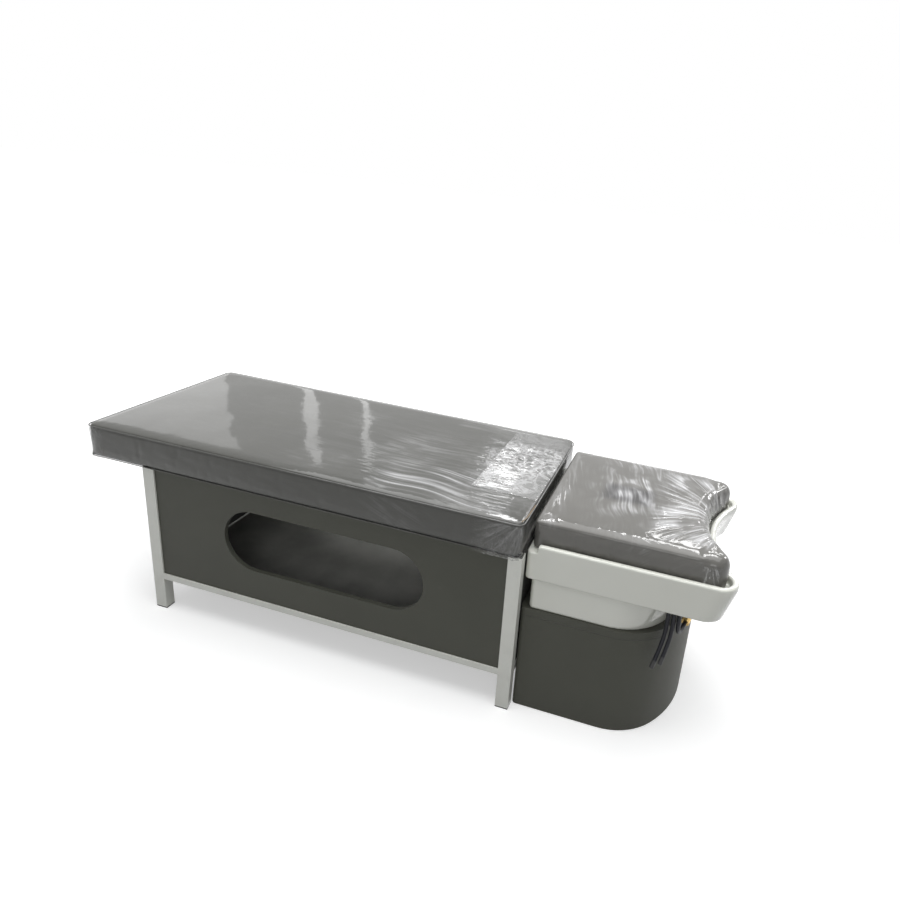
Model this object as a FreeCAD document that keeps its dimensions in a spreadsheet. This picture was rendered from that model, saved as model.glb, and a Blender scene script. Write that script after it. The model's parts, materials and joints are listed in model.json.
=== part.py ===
import FreeCAD, Part
import math
import os
import re
import Sketcher

# A hair washing bed: a box bed on a square tube frame, with a pedestal and a
# shampoo basin at its head end. The origin lies on the floor under the middle
# of the whole bed. X runs from the foot end to the basin, and Z is up.

Vector = FreeCAD.Vector
Rotation = FreeCAD.Rotation
doc = FreeCAD.newDocument("HairWashingBed")
sheet = doc.addObject("Spreadsheet::Sheet", "Sizes")
plan = doc.addObject("App::VarSet", "Plan")

# Driving sizes in millimetres, angles in degrees, counts and shares
SIZES = [
    ("foot_overhang", 200),
    ("frame_length", 1240),
    ("frame_width", 610),
    ("frame_height", 514),
    ("leg_width", 40),
    ("leg_depth", 32),
    ("tube_wall", 1.5),
    ("cap_height", 4),
    ("cap_plug", 18),
    ("cap_play", 0.1),
    ("rail_height", 20),
    ("rail_depth", 20),
    ("lower_rail_bottom", 115),
    ("cross_rail_count", 3),
    ("cross_rail_width", 20),
    ("panel_recess", 4),
    ("panel_board", 12),
    ("cover_skin", 2),
    ("panel_gap", 1),
    ("cutout_end_margin", 245.5),
    ("cutout_top_margin", 70),
    ("cutout_bottom_margin", 103),
    ("floor_board", 12),
    ("floor_play", 0.5),
    ("screw_radius", 2),
    ("screw_head_radius", 4.5),
    ("screw_head_height", 2.5),
    ("screw_bite", 8),
    ("screw_count", 4),
    ("bolt_radius", 3),
    ("bolt_head_radius", 6),
    ("bolt_head_height", 4),
    ("bolt_bite", 9),
    ("bolt_play", 0.3),
    ("bolt_side_inset", 90),
    ("mattress_end_gap", 4),
    ("mattress_side_lap", 4),
    ("mattress_height", 111),
    ("mattress_corner", 16),
    ("mattress_edge", 8),
    ("mattress_crown", 3),
    ("mattress_spread", 90),
    ("mattress_belly", 2.5),
    ("mattress_board", 12),
    ("board_lip", 5),
    ("foam_inset", 12),
    ("unit_gap", 2),
    ("pedestal_setback", 80),
    ("pedestal_side_inset", 30),
    ("pedestal_height", 343),
    ("pedestal_corner", 12),
    ("pedestal_end_corner", 190),
    ("pedestal_bulge", 30),
    ("shell_wall", 9),
    ("top_board", 12),
    ("post_side", 30),
    ("post_margin", 19),
    ("top_opening_margin", 28),
    ("skirt_lift", 2),
    ("body_height", 96),
    ("body_inset", 19),
    ("body_side_inset", 5),
    ("body_end_inset", 30),
    ("body_flare", 15),
    ("body_end_corner", 175),
    ("body_bulge", 28),
    ("basin_length", 558),
    ("basin_side_inset", 30),
    ("skirt_height", 107),
    ("basin_corner", 14),
    ("horn_radius", 50),
    ("notch_depth", 60),
    ("end_lean", 25),
    ("step_length", 31),
    ("step_drop", 23),
    ("rim_width", 18),
    ("rim_round", 6),
    ("basin_wall", 8),
    ("ledge_width", 22),
    ("ledge_start", 40),
    ("tray_depth", 35),
    ("tray_level_run", 63),
    ("tray_floor_inset", 8),
    ("tray_corner", 30),
    ("well_length", 161),
    ("well_end", 134),
    ("well_depth", 163),
    ("well_side_margin", 72),
    ("well_front_corner", 60),
    ("well_end_corner", 98),
    ("well_bulge", 24),
    ("well_taper", 38),
    ("well_end_share", 0.5),
    ("well_round", 26),
    ("well_round_steps", 4),
    ("hollow_end_inset", 40),
    ("drain_setback", 186),
    ("drain_radius", 23),
    ("drain_fit", 0.5),
    ("drain_flange_radius", 36),
    ("drain_flange_height", 2.5),
    ("drain_bore", 16),
    ("drain_tail", 52),
    ("drain_seat_depth", 1.5),
    ("gasket_height", 3),
    ("gasket_radius", 34),
    ("drain_nut_height", 10),
    ("drain_nut_radius", 32),
    ("strainer_radius", 24),
    ("strainer_height", 2),
    ("strainer_cup_depth", 12),
    ("strainer_cup_radius", 13),
    ("strainer_play", 0.3),
    ("strainer_hole", 2),
    ("strainer_ring", 18),
    ("strainer_hole_count", 10),
    ("strainer_knob_radius", 4),
    ("strainer_knob_height", 12),
    ("tailpiece_fit", 0.5),
    ("tailpiece_wall", 1.5),
    ("trap_drop", 90),
    ("trap_radius", 34),
    ("trap_height", 104),
    ("trap_wall", 3),
    ("trap_collar", 14),
    ("trap_collar_radius", 22),
    ("trap_outlet_height", 75),
    ("trap_dip", 30),
    ("tail_lap", 10),
    ("waste_radius", 20),
    ("waste_wall", 2),
    ("waste_bend", 40),
    ("waste_reach", 110),
    ("waste_bottom", 8),
    ("tap_setback", 144),
    ("tap_side_margin", 45),
    ("tap_pocket", 25),
    ("deck_margin", 8),
    ("deck_thickness", 10),
    ("tap_hole", 11),
    ("tap_fit", 0.3),
    ("tap_flange_radius", 20),
    ("tap_flange_height", 3),
    ("tap_housing_radius", 14),
    ("tap_housing_height", 7),
    ("spindle_radius", 4),
    ("spindle_height", 12),
    ("shank_length", 30),
    ("knob_radius", 20),
    ("knob_height", 15),
    ("knob_skirt", 2),
    ("knob_gap", 0.5),
    ("knob_grooves", 18),
    ("knob_groove_radius", 1.6),
    ("knob_fit", 0.05),
    ("tap_nut_radius", 17),
    ("tap_nut_height", 7),
    ("manifold_length", 54),
    ("manifold_width", 20),
    ("manifold_height", 10),
    ("hose_radius", 6),
    ("hose_tip_radius", 6.5),
    ("hose_tip_bore", 4.5),
    ("hose_tip_length", 22),
    ("hose_nut_radius", 12),
    ("hose_nut_bore", 9.3),
    ("hose_nut_length", 16),
    ("hose_nut_depth", 12),
    ("hose_tip_depth", 12),
    ("pivot_ahead", 69),
    ("pivot_radius", 4),
    ("pivot_fit", 0.05),
    ("arm_reach", 87),
    ("arm_drop", 47),
    ("arm_knee_reach", 34),
    ("arm_knee_drop", 49),
    ("arm_width", 12),
    ("arm_half_depth", 5),
    ("arm_eye_radius", 8),
    ("ear_gap", 0.4),
    ("ear_thickness", 5),
    ("ear_radius", 10),
    ("bracket_base_length", 76),
    ("bracket_base_thickness", 5),
    ("bracket_base_width", 44),
    ("lug_height", 11),
    ("bracket_screw_side", 17),
    ("bracket_screw_inset", 11),
    ("bracket_screw_bite", 8),
    ("plate_thickness", 6),
    ("plate_inset", 12),
    ("neck_pad_width", 230),
    ("neck_pad_length", 160),
    ("neck_pad_height", 62),
    ("neck_slot_radius", 42),
    ("neck_pad_ahead", 42),
    ("neck_pad_corner", 22),
    ("neck_pad_edge", 12),
    ("neck_pad_belly", 3),
    ("neck_pad_crown", 2),
    ("neck_pad_spread", 10),
    ("lid_end_gap", 8),
    ("lid_side_gap", 2.5),
    ("lid_tip_margin", 29),
    ("lid_height", 89),
    ("lid_notch", 60),
    ("lid_lobe_share", 0.16),
    ("lid_corner", 14),
    ("lid_edge", 12),
    ("lid_crown", 3),
    ("lid_spread_margin", 5),
    ("lid_belly", 1.5),
    ("lid_board", 12),
    ("rest_gap", 0.3),
]

# Places and sizes that follow from the driving sizes
PLACES = [
    ("total_length", "foot_overhang + frame_length + unit_gap + basin_length"),
    ("bed_left", "-total_length / 2"),
    ("frame_left", "bed_left + foot_overhang"),
    ("frame_right", "frame_left + frame_length"),
    ("frame_middle", "(frame_left + frame_right) / 2"),
    ("frame_side", "frame_width / 2"),
    ("lower_rail_top", "lower_rail_bottom + rail_height"),
    ("upper_rail_bottom", "frame_height - rail_height"),
    ("board_face", "frame_side - panel_recess - cover_skin"),
    ("board_back", "board_face - panel_board"),
    ("end_board_face", "frame_length / 2 - panel_recess - cover_skin"),
    ("end_board_back", "end_board_face - panel_board"),
    ("panel_height", "frame_height - panel_gap - lower_rail_top"),
    ("side_panel_length", "frame_length - 2 * leg_width"),
    ("end_panel_length", "frame_width - 2 * leg_depth"),
    ("cutout_length", "side_panel_length - 2 * cutout_end_margin"),
    ("cutout_bottom", "lower_rail_top + cutout_bottom_margin"),
    ("cutout_top", "frame_height - cutout_top_margin"),
    ("cutout_height", "cutout_top - cutout_bottom"),
    ("cutout_middle", "(cutout_top + cutout_bottom) / 2"),
    ("mattress_length", "foot_overhang + frame_length - mattress_end_gap"),
    ("mattress_width", "frame_width + 2 * mattress_side_lap"),
    ("basin_left", "frame_right + unit_gap"),
    ("basin_side", "frame_side - basin_side_inset"),
    ("basin_width", "2 * basin_side"),
    ("pedestal_length", "basin_length - pedestal_setback"),
    ("pedestal_width", "frame_width - 2 * pedestal_side_inset"),
    ("pedestal_straight_end", "basin_left + pedestal_length - pedestal_bulge - pedestal_end_corner"),
    ("skirt_bottom", "pedestal_height + body_height"),
    ("rim_top", "skirt_bottom + skirt_height"),
    ("ledge_top", "rim_top - step_drop"),
    ("tray_floor", "ledge_top - tray_depth"),
    ("well_floor", "tray_floor - well_depth"),
    ("well_start", "basin_length - well_end - well_length"),
    ("well_width", "basin_width - 2 * well_side_margin"),
    ("tray_slope_run", "well_start - ledge_start - tray_level_run"),
    ("well_underside", "well_floor - basin_wall"),
    ("drain_x", "basin_left + basin_length - drain_setback"),
    ("tap_x", "basin_left + basin_length - tap_setback"),
    ("tap_side", "basin_side - tap_side_margin"),
    ("deck_underside", "tray_floor - deck_thickness"),
    ("shank_bottom", "tray_floor - shank_length"),
    ("hose_top", "shank_bottom - manifold_height"),
    ("pivot_x", "drain_x - pivot_ahead"),
    ("pivot_z", "tray_floor"),
    ("pad_pivot_x", "pivot_x + arm_reach"),
    ("pad_pivot_z", "pivot_z - arm_drop"),
    ("plate_bottom", "pad_pivot_z + lug_height"),
    ("lid_bottom", "ledge_top + rest_gap"),
    ("lid_left", "basin_left + lid_end_gap"),
    ("lid_length", "basin_length - lid_end_gap - lid_tip_margin"),
    ("lid_side", "basin_side - rim_width - lid_side_gap"),
    ("lid_lobe_radius", "lid_lobe_share * lid_side"),
    ("lid_spread", "lid_lobe_radius - lid_edge - lid_spread_margin"),
    ("trap_top", "well_underside - trap_drop"),
    ("trap_bottom", "trap_top - trap_height"),
    ("waste_height", "trap_bottom + trap_outlet_height"),
    ("waste_x", "drain_x - waste_reach"),
]

size_names = {name for name, value in SIZES}
place_names = {name for name, formula in PLACES}


def enter_sizes():
    for row, (name, value) in enumerate(SIZES, start=1):
        sheet.set(f"A{row}", name)
        sheet.set(f"B{row}", str(value))
        sheet.setAlias(f"B{row}", name)
    doc.recompute()


def linked(word):
    if word in size_names:
        return "Sizes." + word
    if word in place_names:
        return "Plan." + word
    return word


def bound(formula):
    """A formula in plain names, as an expression that reads the sheet and the plan."""
    return re.sub(r"[a-z_]+", lambda match: linked(match.group()), formula)


def enter_places():
    for name, formula in PLACES:
        plan.addProperty("App::PropertyFloat", name, "Places")
        plan.setExpression(name, bound(formula))
        doc.recompute()


class Values:
    """Reads a size or a place by its name."""

    def __getattr__(self, name):
        if name in size_names:
            return float(sheet.get(name))
        return float(getattr(plan, name))


enter_sizes()
enter_places()
v = Values()
subparts = []


def keep(item, name):
    """Marks an object as a sub-part of the bed."""
    item.Label = name
    subparts.append(item)
    return item


# Helpers for boxes, cylinders and joins

TURNS = {
    "z": Rotation(),
    "x": Rotation(Vector(0, 1, 0), 90),
    "y": Rotation(Vector(1, 0, 0), -90),
    "-z": Rotation(Vector(1, 0, 0), 180),
    "-y": Rotation(Vector(1, 0, 0), 90),
    "-x": Rotation(Vector(0, 1, 0), -90),
}


def place(item, corner):
    for axis, formula in zip("xyz", corner):
        item.setExpression("Placement.Base." + axis, bound(formula))
    return item


def box(name, corner, extent):
    item = doc.addObject("Part::Box", name)
    for side, formula in zip(("Length", "Width", "Height"), extent):
        item.setExpression(side, bound(formula))
    return place(item, corner)


def cylinder(name, centre, radius, height, axis="z"):
    item = doc.addObject("Part::Cylinder", name)
    item.Placement = FreeCAD.Placement(Vector(), TURNS[axis])
    item.setExpression("Radius", bound(radius))
    item.setExpression("Height", bound(height))
    return place(item, centre)


def fuse(name, items):
    item = doc.addObject("Part::MultiFuse", name)
    item.Shapes = items
    return item


def group(name, items):
    item = doc.addObject("Part::Compound", name)
    item.Links = items
    return item


def cut(name, base, tools):
    item = doc.addObject("Part::Cut", name)
    item.Base = base
    item.Tool = tools[0] if len(tools) == 1 else group(name + "_tools", tools)
    return item


def tube_beam(name, corner, extent, along, holes=()):
    """A square tube: along is 0, 1 or 2 for X, Y or Z."""
    outer = box(name + "_outer", corner, extent)
    inner_corner = [c if i == along else f"{c} + tube_wall" for i, c in enumerate(corner)]
    inner_extent = [e if i == along else f"{e} - 2 * tube_wall" for i, e in enumerate(extent)]
    inner = box(name + "_inner", inner_corner, inner_extent)
    return cut(name, outer, [inner, *holes])


def feature(name, shape):
    """A free form that no parametric feature makes."""
    item = doc.addObject("Part::Feature", name)
    item.Shape = shape
    item.Placement = FreeCAD.Placement(Vector(), Rotation())
    return item


# Helpers for part design bodies

def body(name):
    return doc.addObject("PartDesign::Body", name)


def origin_plane(owner, role):
    return next(item for item in owner.Origin.OriginFeatures if item.Role == role)


def sketch_on(owner, name, role):
    sketch = owner.newObject("Sketcher::SketchObject", name)
    sketch.AttachmentSupport = (origin_plane(owner, role), [""])
    sketch.MapMode = "FlatFace"
    return sketch


def numbers(point):
    """A point's two formulas as numbers, to start its sketch near its place."""
    scratch = doc.getObject("Scratch") or doc.addObject("App::VarSet", "Scratch")
    found = []
    for formula in point:
        if not hasattr(scratch, "number"):
            scratch.addProperty("App::PropertyFloat", "number", "Scratch")
        scratch.setExpression("number", bound(formula))
        scratch.recompute()
        found.append(float(scratch.number))
    return Vector(*found, 0)


def polygon(sketch, points):
    """A closed outline whose corners are each held by two bound distances."""
    corners = [numbers(point) for point in points]
    count = len(points)
    for index in range(count):
        sketch.addGeometry(Part.LineSegment(corners[index], corners[(index + 1) % count]), False)
    for index in range(count):
        sketch.addConstraint(Sketcher.Constraint("Coincident", index, 2, (index + 1) % count, 1))
    for index, (across, up) in enumerate(points):
        for kind, formula, value in (
            ("DistanceX", across, corners[index].x),
            ("DistanceY", up, corners[index].y),
        ):
            number = sketch.addConstraint(Sketcher.Constraint(kind, -1, 1, index, 1, value))
            sketch.setExpression(f"Constraints[{number}]", bound(formula))


def turned(name, points, centre, axis="z"):
    """A body of revolution: points are radius and height above its foot."""
    owner = body(name)
    sketch = sketch_on(owner, name + "_profile", "XZ_Plane")
    polygon(sketch, points)
    doc.recompute()
    turn = owner.newObject("PartDesign::Revolution", name + "_turn")
    turn.Profile = sketch
    turn.ReferenceAxis = (sketch, ["V_Axis"])
    turn.Angle = 360
    owner.Placement = FreeCAD.Placement(Vector(), TURNS[axis])
    place(owner, centre)
    doc.recompute()
    return owner


def hole_ring(owner, name, radius, ring, count):
    """Round holes through a turned piece, on a circle about its axis."""
    sketch = sketch_on(owner, name + "_hole", "XY_Plane")
    start = numbers((ring, radius))
    sketch.addGeometry(Part.Circle(Vector(start.x, 0, 0), Vector(0, 0, 1), start.y), False)
    sketch.addConstraint(Sketcher.Constraint("PointOnObject", 0, 3, -1))
    for kind, links, formula, value in (
        ("DistanceX", (-1, 1, 0, 3), ring, start.x),
        ("Radius", (0,), radius, start.y),
    ):
        number = sketch.addConstraint(Sketcher.Constraint(kind, *links, value))
        sketch.setExpression(f"Constraints[{number}]", bound(formula))
    doc.recompute()
    pocket = owner.newObject("PartDesign::Pocket", name + "_pocket")
    pocket.Profile = sketch
    pocket.Type = "ThroughAll"
    pocket.Midplane = True
    doc.recompute()
    pattern = owner.newObject("PartDesign::PolarPattern", name + "_pattern")
    pattern.Originals = [pocket]
    pattern.Axis = (sketch, ["N_Axis"])
    pattern.Angle = 360
    pattern.setExpression("Occurrences", bound(count))
    owner.Tip = pattern
    doc.recompute()
    return owner


# Helpers for outlines and lofts

def arc(start, middle, end):
    return Part.Arc(start, middle, end).toShape()


def line(start, end):
    return Part.LineSegment(start, end).toShape()


def end_outline(left, tip, side, corner, end_corner, depth, height):
    """A level outline that is square at the left and rounded at the right.

    Two corner arcs reach tip, and the arc between them dips back by depth,
    or bulges out where depth is negative.
    """
    rise = side - end_corner
    reach = (depth * depth + rise * rise) / (2 * depth)
    hub = Vector(tip - depth + reach - end_corner, 0, height)

    def half(sign):
        pivot = Vector(tip - end_corner, sign * rise, height)
        meet = pivot + (hub - pivot) * (end_corner / reach)
        away = Vector(0, sign * end_corner, 0)
        middle = (meet - pivot) + away
        middle.normalize()
        middle = pivot + middle * end_corner
        low = Vector(left + corner, sign * side, height)
        bend = corner * (1 - math.sqrt(0.5))
        turn = Vector(left + bend, sign * (side - bend), height)
        wall = Vector(left, sign * (side - corner), height)
        return wall, turn, low, pivot + away, middle, meet

    near = half(-1)
    far = half(1)
    crest = Vector(tip - depth, 0, height)
    return Part.Wire([
        line(far[0], near[0]),
        arc(near[0], near[1], near[2]),
        line(near[2], near[3]),
        arc(near[3], near[4], near[5]),
        arc(near[5], crest, far[5]),
        arc(far[5], far[4], far[3]),
        line(far[3], far[2]),
        arc(far[2], far[1], far[0]),
    ])


def slab_outline(left, right, side, corner, height):
    """A level rectangle with round corners."""
    bend = corner * (1 - math.sqrt(0.5))
    edges = []
    corners = [(left, -1, 1), (right, -1, -1), (right, 1, -1), (left, 1, 1)]
    arcs = []
    for x, sign, inward in corners:
        on_end = Vector(x, sign * (side - corner), height)
        on_side = Vector(x + inward * corner, sign * side, height)
        middle = Vector(x + inward * bend, sign * (side - bend), height)
        arcs.append((on_end, middle, on_side) if sign * inward < 0 else (on_side, middle, on_end))
    for index, (start, middle, end) in enumerate(arcs):
        edges.append(arc(start, middle, end))
        edges.append(line(end, arcs[(index + 1) % 4][0]))
    return Part.Wire(edges)


def loft(outlines, ruled=False):
    return Part.makeLoft(outlines, True, ruled)


def prism(outline, height):
    return Part.Face(outline).extrude(Vector(0, 0, height))


# Bed frame

def build_frame():
    leg_columns = (("foot", "frame_left"), ("head", "frame_right - leg_width"))
    leg_rows = (("front", "-frame_side"), ("rear", "frame_side - leg_depth"))
    caps = []
    for end_name, x in leg_columns:
        for side_name, y in leg_rows:
            name = f"leg_{side_name}_{end_name}"
            keep(tube_beam(
                name,
                (x, y, "cap_height"),
                ("leg_width", "leg_depth", "frame_height - cap_height"),
                2,
            ), name)
            foot = box(name + "_cap_foot", (x, y, "0"), ("leg_width", "leg_depth", "cap_height"))
            inset = "tube_wall + cap_play"
            plug = box(
                name + "_cap_plug",
                (f"{x} + {inset}", f"{y} + {inset}", "cap_height"),
                (f"leg_width - 2 * ({inset})", f"leg_depth - 2 * ({inset})", "cap_plug"),
            )
            caps.append(fuse(name + "_cap", [foot, plug]))
    keep(group("leg_end_caps", caps), "leg_end_caps")

    side_start = "frame_left + leg_width"
    for side_name, low_y, high_y in (
        ("front", "-frame_side", "-board_back"),
        ("rear", "frame_side - rail_depth", "board_back - rail_depth"),
    ):
        extent = ("side_panel_length", "rail_depth", "rail_height")
        keep(tube_beam(
            f"lower_rail_{side_name}", (side_start, low_y, "lower_rail_bottom"), extent, 0,
        ), f"lower_rail_{side_name}")
        keep(tube_beam(
            f"upper_rail_{side_name}", (side_start, high_y, "upper_rail_bottom"), extent, 0,
            panel_screw_holes(side_name),
        ), f"upper_rail_{side_name}")

    end_extent = ("rail_depth", "end_panel_length", "rail_height")
    end_start = "leg_depth - frame_side"
    foot_back = "frame_middle - end_board_back"
    head_back = "frame_middle + end_board_back - rail_depth"
    keep(group("lower_end_rails", [
        tube_beam("lower_rail_foot", ("frame_left", end_start, "lower_rail_bottom"), end_extent, 1),
        tube_beam(
            "lower_rail_head",
            ("frame_right - rail_depth", end_start, "lower_rail_bottom"),
            end_extent, 1, pedestal_bolt_holes(),
        ),
    ]), "lower_end_rails")
    upper_extent = ("rail_depth", "2 * (board_back - rail_depth)", "rail_height")
    upper_start = "rail_depth - board_back"
    keep(group("upper_end_rails", [
        tube_beam("upper_rail_foot", (foot_back, upper_start, "upper_rail_bottom"), upper_extent, 1),
        tube_beam("upper_rail_head", (head_back, upper_start, "upper_rail_bottom"), upper_extent, 1),
    ]), "upper_end_rails")

    lower = []
    upper = []
    for index in range(round(v.cross_rail_count)):
        x = cross_rail_middle(index) + " - cross_rail_width / 2"
        lower.append(tube_beam(
            f"lower_cross_rail_{index}",
            (x, "rail_depth - frame_side", "lower_rail_bottom"),
            ("cross_rail_width", "frame_width - 2 * rail_depth", "rail_height"), 1,
        ))
        upper.append(tube_beam(
            f"upper_cross_rail_{index}",
            (x, upper_start, "upper_rail_bottom"),
            ("cross_rail_width", "2 * (board_back - rail_depth)", "rail_height"), 1,
            board_bolt_holes(index, "upper_rail_bottom", "rail_height"),
        ))
    keep(group("lower_cross_rails", lower), "lower_cross_rails")
    keep(group("upper_cross_rails", upper), "upper_cross_rails")


def cross_rail_middle(index):
    share = f"{index + 1} / (cross_rail_count + 1)"
    return f"frame_left + frame_length * {share}"


def board_bolt_holes(index, bottom, height):
    """Clearance holes of one cross rail's two bolts."""
    return [
        cylinder(
            f"board_bolt_hole_{index}_{row}_{bottom}",
            (cross_rail_middle(index), y, bottom),
            "bolt_radius + bolt_play", height,
        )
        for row, y in enumerate(("bolt_side_inset - frame_side", "frame_side - bolt_side_inset"))
    ]


def build_board_bolts():
    bolts = []
    for index in range(round(v.cross_rail_count)):
        for row, y in enumerate(("bolt_side_inset - frame_side", "frame_side - bolt_side_inset")):
            x = cross_rail_middle(index)
            head = cylinder(
                f"board_bolt_head_{index}_{row}",
                (x, y, "upper_rail_bottom - bolt_head_height"),
                "bolt_head_radius", "bolt_head_height",
            )
            shank = cylinder(
                f"board_bolt_shank_{index}_{row}", (x, y, "upper_rail_bottom"),
                "bolt_radius", "rail_height + bolt_bite",
            )
            bolts.append(fuse(f"board_bolt_{index}_{row}", [head, shank]))
    keep(group("board_bolts", bolts), "board_bolts")


def screw_places():
    """Distances of the panel screws from the frame's foot end."""
    return [
        f"frame_left + frame_length * {index + 1} / (screw_count + 1)"
        for index in range(round(v.screw_count))
    ]


def panel_screw_holes(side_name):
    axis, y = ("-y", "rail_depth - board_back") if side_name == "front" else ("y", "board_back - rail_depth")
    return [
        cylinder(
            f"panel_screw_hole_{side_name}_{index}",
            (x, y, "frame_height - rail_height / 2"),
            "screw_radius + bolt_play", "rail_depth", axis,
        )
        for index, x in enumerate(screw_places())
    ]


def build_panel_screws():
    screws = []
    for side_name, axis, head_axis, y in (
        ("front", "-y", "y", "rail_depth - board_back"),
        ("rear", "y", "-y", "board_back - rail_depth"),
    ):
        for index, x in enumerate(screw_places()):
            middle = "frame_height - rail_height / 2"
            head = cylinder(
                f"panel_screw_head_{side_name}_{index}", (x, y, middle),
                "screw_head_radius", "screw_head_height", head_axis,
            )
            shank = cylinder(
                f"panel_screw_shank_{side_name}_{index}", (x, y, middle),
                "screw_radius", "rail_depth + screw_bite", axis,
            )
            screws.append(fuse(f"panel_screw_{side_name}_{index}", [head, shank]))
    keep(group("panel_screws", screws), "panel_screws")


# Panels

def stadium(name, y, depth, grow):
    """The rounded cut-out as a solid that reaches through a panel."""
    radius = f"(cutout_height / 2 + {grow})"
    run = "(cutout_length - cutout_height)"
    middle = box(
        name + "_middle",
        (f"frame_middle - {run} / 2", y, f"cutout_middle - {radius}"),
        (run, depth, f"2 * {radius}"),
    )
    ends = [
        cylinder(f"{name}_end_{index}", (x, y, "cutout_middle"), radius, depth, "y")
        for index, x in enumerate((f"frame_middle - {run} / 2", f"frame_middle + {run} / 2"))
    ]
    return fuse(name, [middle, *ends])


def build_side_panel(side_name):
    front = side_name == "front"
    board_y = "-board_face" if front else "board_back"
    skin_y = "-board_face - cover_skin" if front else "board_face"
    whole_y = "-board_face - cover_skin" if front else "board_back"
    start = "frame_left + leg_width"
    board = box(
        f"{side_name}_board_blank", (start, board_y, "lower_rail_top"),
        ("side_panel_length", "panel_board", "panel_height"),
    )
    screws = [
        cylinder(
            f"{side_name}_board_screw_hole_{index}",
            (x, "-board_back" if front else "board_back", "frame_height - rail_height / 2"),
            "screw_radius", "screw_bite", "-y" if front else "y",
        )
        for index, x in enumerate(screw_places())
    ]
    opening = stadium(f"{side_name}_board_cutout", board_y, "panel_board", "cover_skin")
    name = f"{side_name}_panel_board"
    keep(cut(name, board, [opening, *screws]), name)
    skin = box(
        f"{side_name}_cover_skin", (start, skin_y, "lower_rail_top"),
        ("side_panel_length", "cover_skin", "panel_height"),
    )
    collar = stadium(f"{side_name}_cover_collar", board_y, "panel_board", "cover_skin")
    mouth = stadium(f"{side_name}_cover_mouth", whole_y, "panel_board + cover_skin", "0")
    name = f"{side_name}_panel_cover"
    keep(cut(name, fuse(f"{side_name}_cover_blank", [skin, collar]), [mouth]), name)


def build_end_panel(end_name):
    foot = end_name == "foot"
    board_x = "frame_middle - end_board_face" if foot else "frame_middle + end_board_back"
    skin_x = "frame_middle - end_board_face - cover_skin" if foot else "frame_middle + end_board_face"
    start = "leg_depth - frame_side"
    extent = ("end_panel_length", "panel_height")
    board = box(
        f"{end_name}_board_blank", (board_x, start, "lower_rail_top"),
        ("panel_board", *extent),
    )
    name = f"{end_name}_panel_board"
    keep(board, name)
    skin = box(
        f"{end_name}_skin", (skin_x, start, "lower_rail_top"), ("cover_skin", *extent),
    )
    keep(skin, f"{end_name}_panel_cover")


def build_storage_floor():
    floor = box(
        "storage_floor_blank",
        (
            "frame_middle - end_board_back + floor_play",
            "leg_depth + floor_play - frame_side",
            "lower_rail_top",
        ),
        (
            "2 * (end_board_back - floor_play)",
            "frame_width - 2 * (leg_depth + floor_play)",
            "floor_board",
        ),
    )
    legs = [
        box(
            f"floor_leg_notch_{end}",
            (x, "-frame_side", "lower_rail_top"),
            ("leg_width + floor_play", "frame_width", "floor_board"),
        )
        for end, x in (("foot", "frame_left"), ("head", "frame_right - leg_width - floor_play"))
    ]
    keep(cut("storage_floor_board", floor, legs), "storage_floor_board")


# Mattress

def cushion_levels(bottom, height, edge, crown, belly, spread):
    """Insets and heights of a boxed cushion, from its foot to its crown.

    The top edge is a quarter round, and the crown rises over spread.
    """
    top = bottom + height
    shoulder = top - crown
    levels = [
        (belly, bottom),
        (0, bottom + (height - edge) / 2),
        (belly / 2, shoulder - edge),
    ]
    for index in (1, 2, 3):
        angle = math.pi / 2 * index / 3
        levels.append((
            belly / 2 + edge * (1 - math.cos(angle)),
            shoulder - edge * (1 - math.sin(angle)),
        ))
    levels.append((belly / 2 + edge + spread / 2, top - crown / 4))
    levels.append((belly / 2 + edge + spread, top))
    return levels


def build_mattress():
    left = v.bed_left
    right = left + v.mattress_length
    side = v.mattress_width / 2
    outlines = []
    for inset, height in cushion_levels(
        v.frame_height, v.mattress_height, v.mattress_edge,
        v.mattress_crown, v.mattress_belly, v.mattress_spread,
    ):
        corner = v.mattress_corner + inset
        outlines.append(slab_outline(left + inset, right - inset, side - inset, corner, height))
    form = feature("mattress_form", loft(outlines, True))

    lip = "(mattress_belly + board_lip)"
    board = box(
        "mattress_board_blank",
        (f"bed_left + {lip}", f"{lip} - mattress_width / 2", "frame_height"),
        (f"mattress_length - 2 * {lip}", f"mattress_width - 2 * {lip}", "mattress_board"),
    )
    holes = []
    for index in range(round(v.cross_rail_count)):
        holes += board_bolt_holes(index, "frame_height", "bolt_bite")
    keep(cut("mattress_board", board, holes), "mattress_board")
    foam = box(
        "mattress_foam_blank",
        (
            "bed_left + foam_inset", "foam_inset - mattress_width / 2",
            "frame_height + mattress_board",
        ),
        (
            "mattress_length - 2 * foam_inset", "mattress_width - 2 * foam_inset",
            "mattress_height - mattress_board - foam_inset",
        ),
    )
    keep(foam, "mattress_foam")
    hollow = group("mattress_hollow", [
        box(
            "mattress_board_space",
            (f"bed_left + {lip}", f"{lip} - mattress_width / 2", "frame_height"),
            (f"mattress_length - 2 * {lip}", f"mattress_width - 2 * {lip}", "mattress_board"),
        ),
        box(
            "mattress_foam_space",
            (
                "bed_left + foam_inset", "foam_inset - mattress_width / 2",
                "frame_height + mattress_board",
            ),
            (
                "mattress_length - 2 * foam_inset", "mattress_width - 2 * foam_inset",
                "mattress_height - mattress_board - foam_inset",
            ),
        ),
    ])
    keep(cut("mattress_pad", form, [hollow]), "mattress_pad")


# Pedestal

def pedestal_outline(inset, height):
    return end_outline(
        v.basin_left + inset,
        v.basin_left + v.pedestal_length - v.pedestal_bulge - inset,
        v.pedestal_width / 2 - inset,
        v.pedestal_corner,
        v.pedestal_end_corner - inset,
        -v.pedestal_bulge,
        height,
    )


def pedestal_bolt_places():
    return ("-pedestal_width / 4", "pedestal_width / 4")


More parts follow.
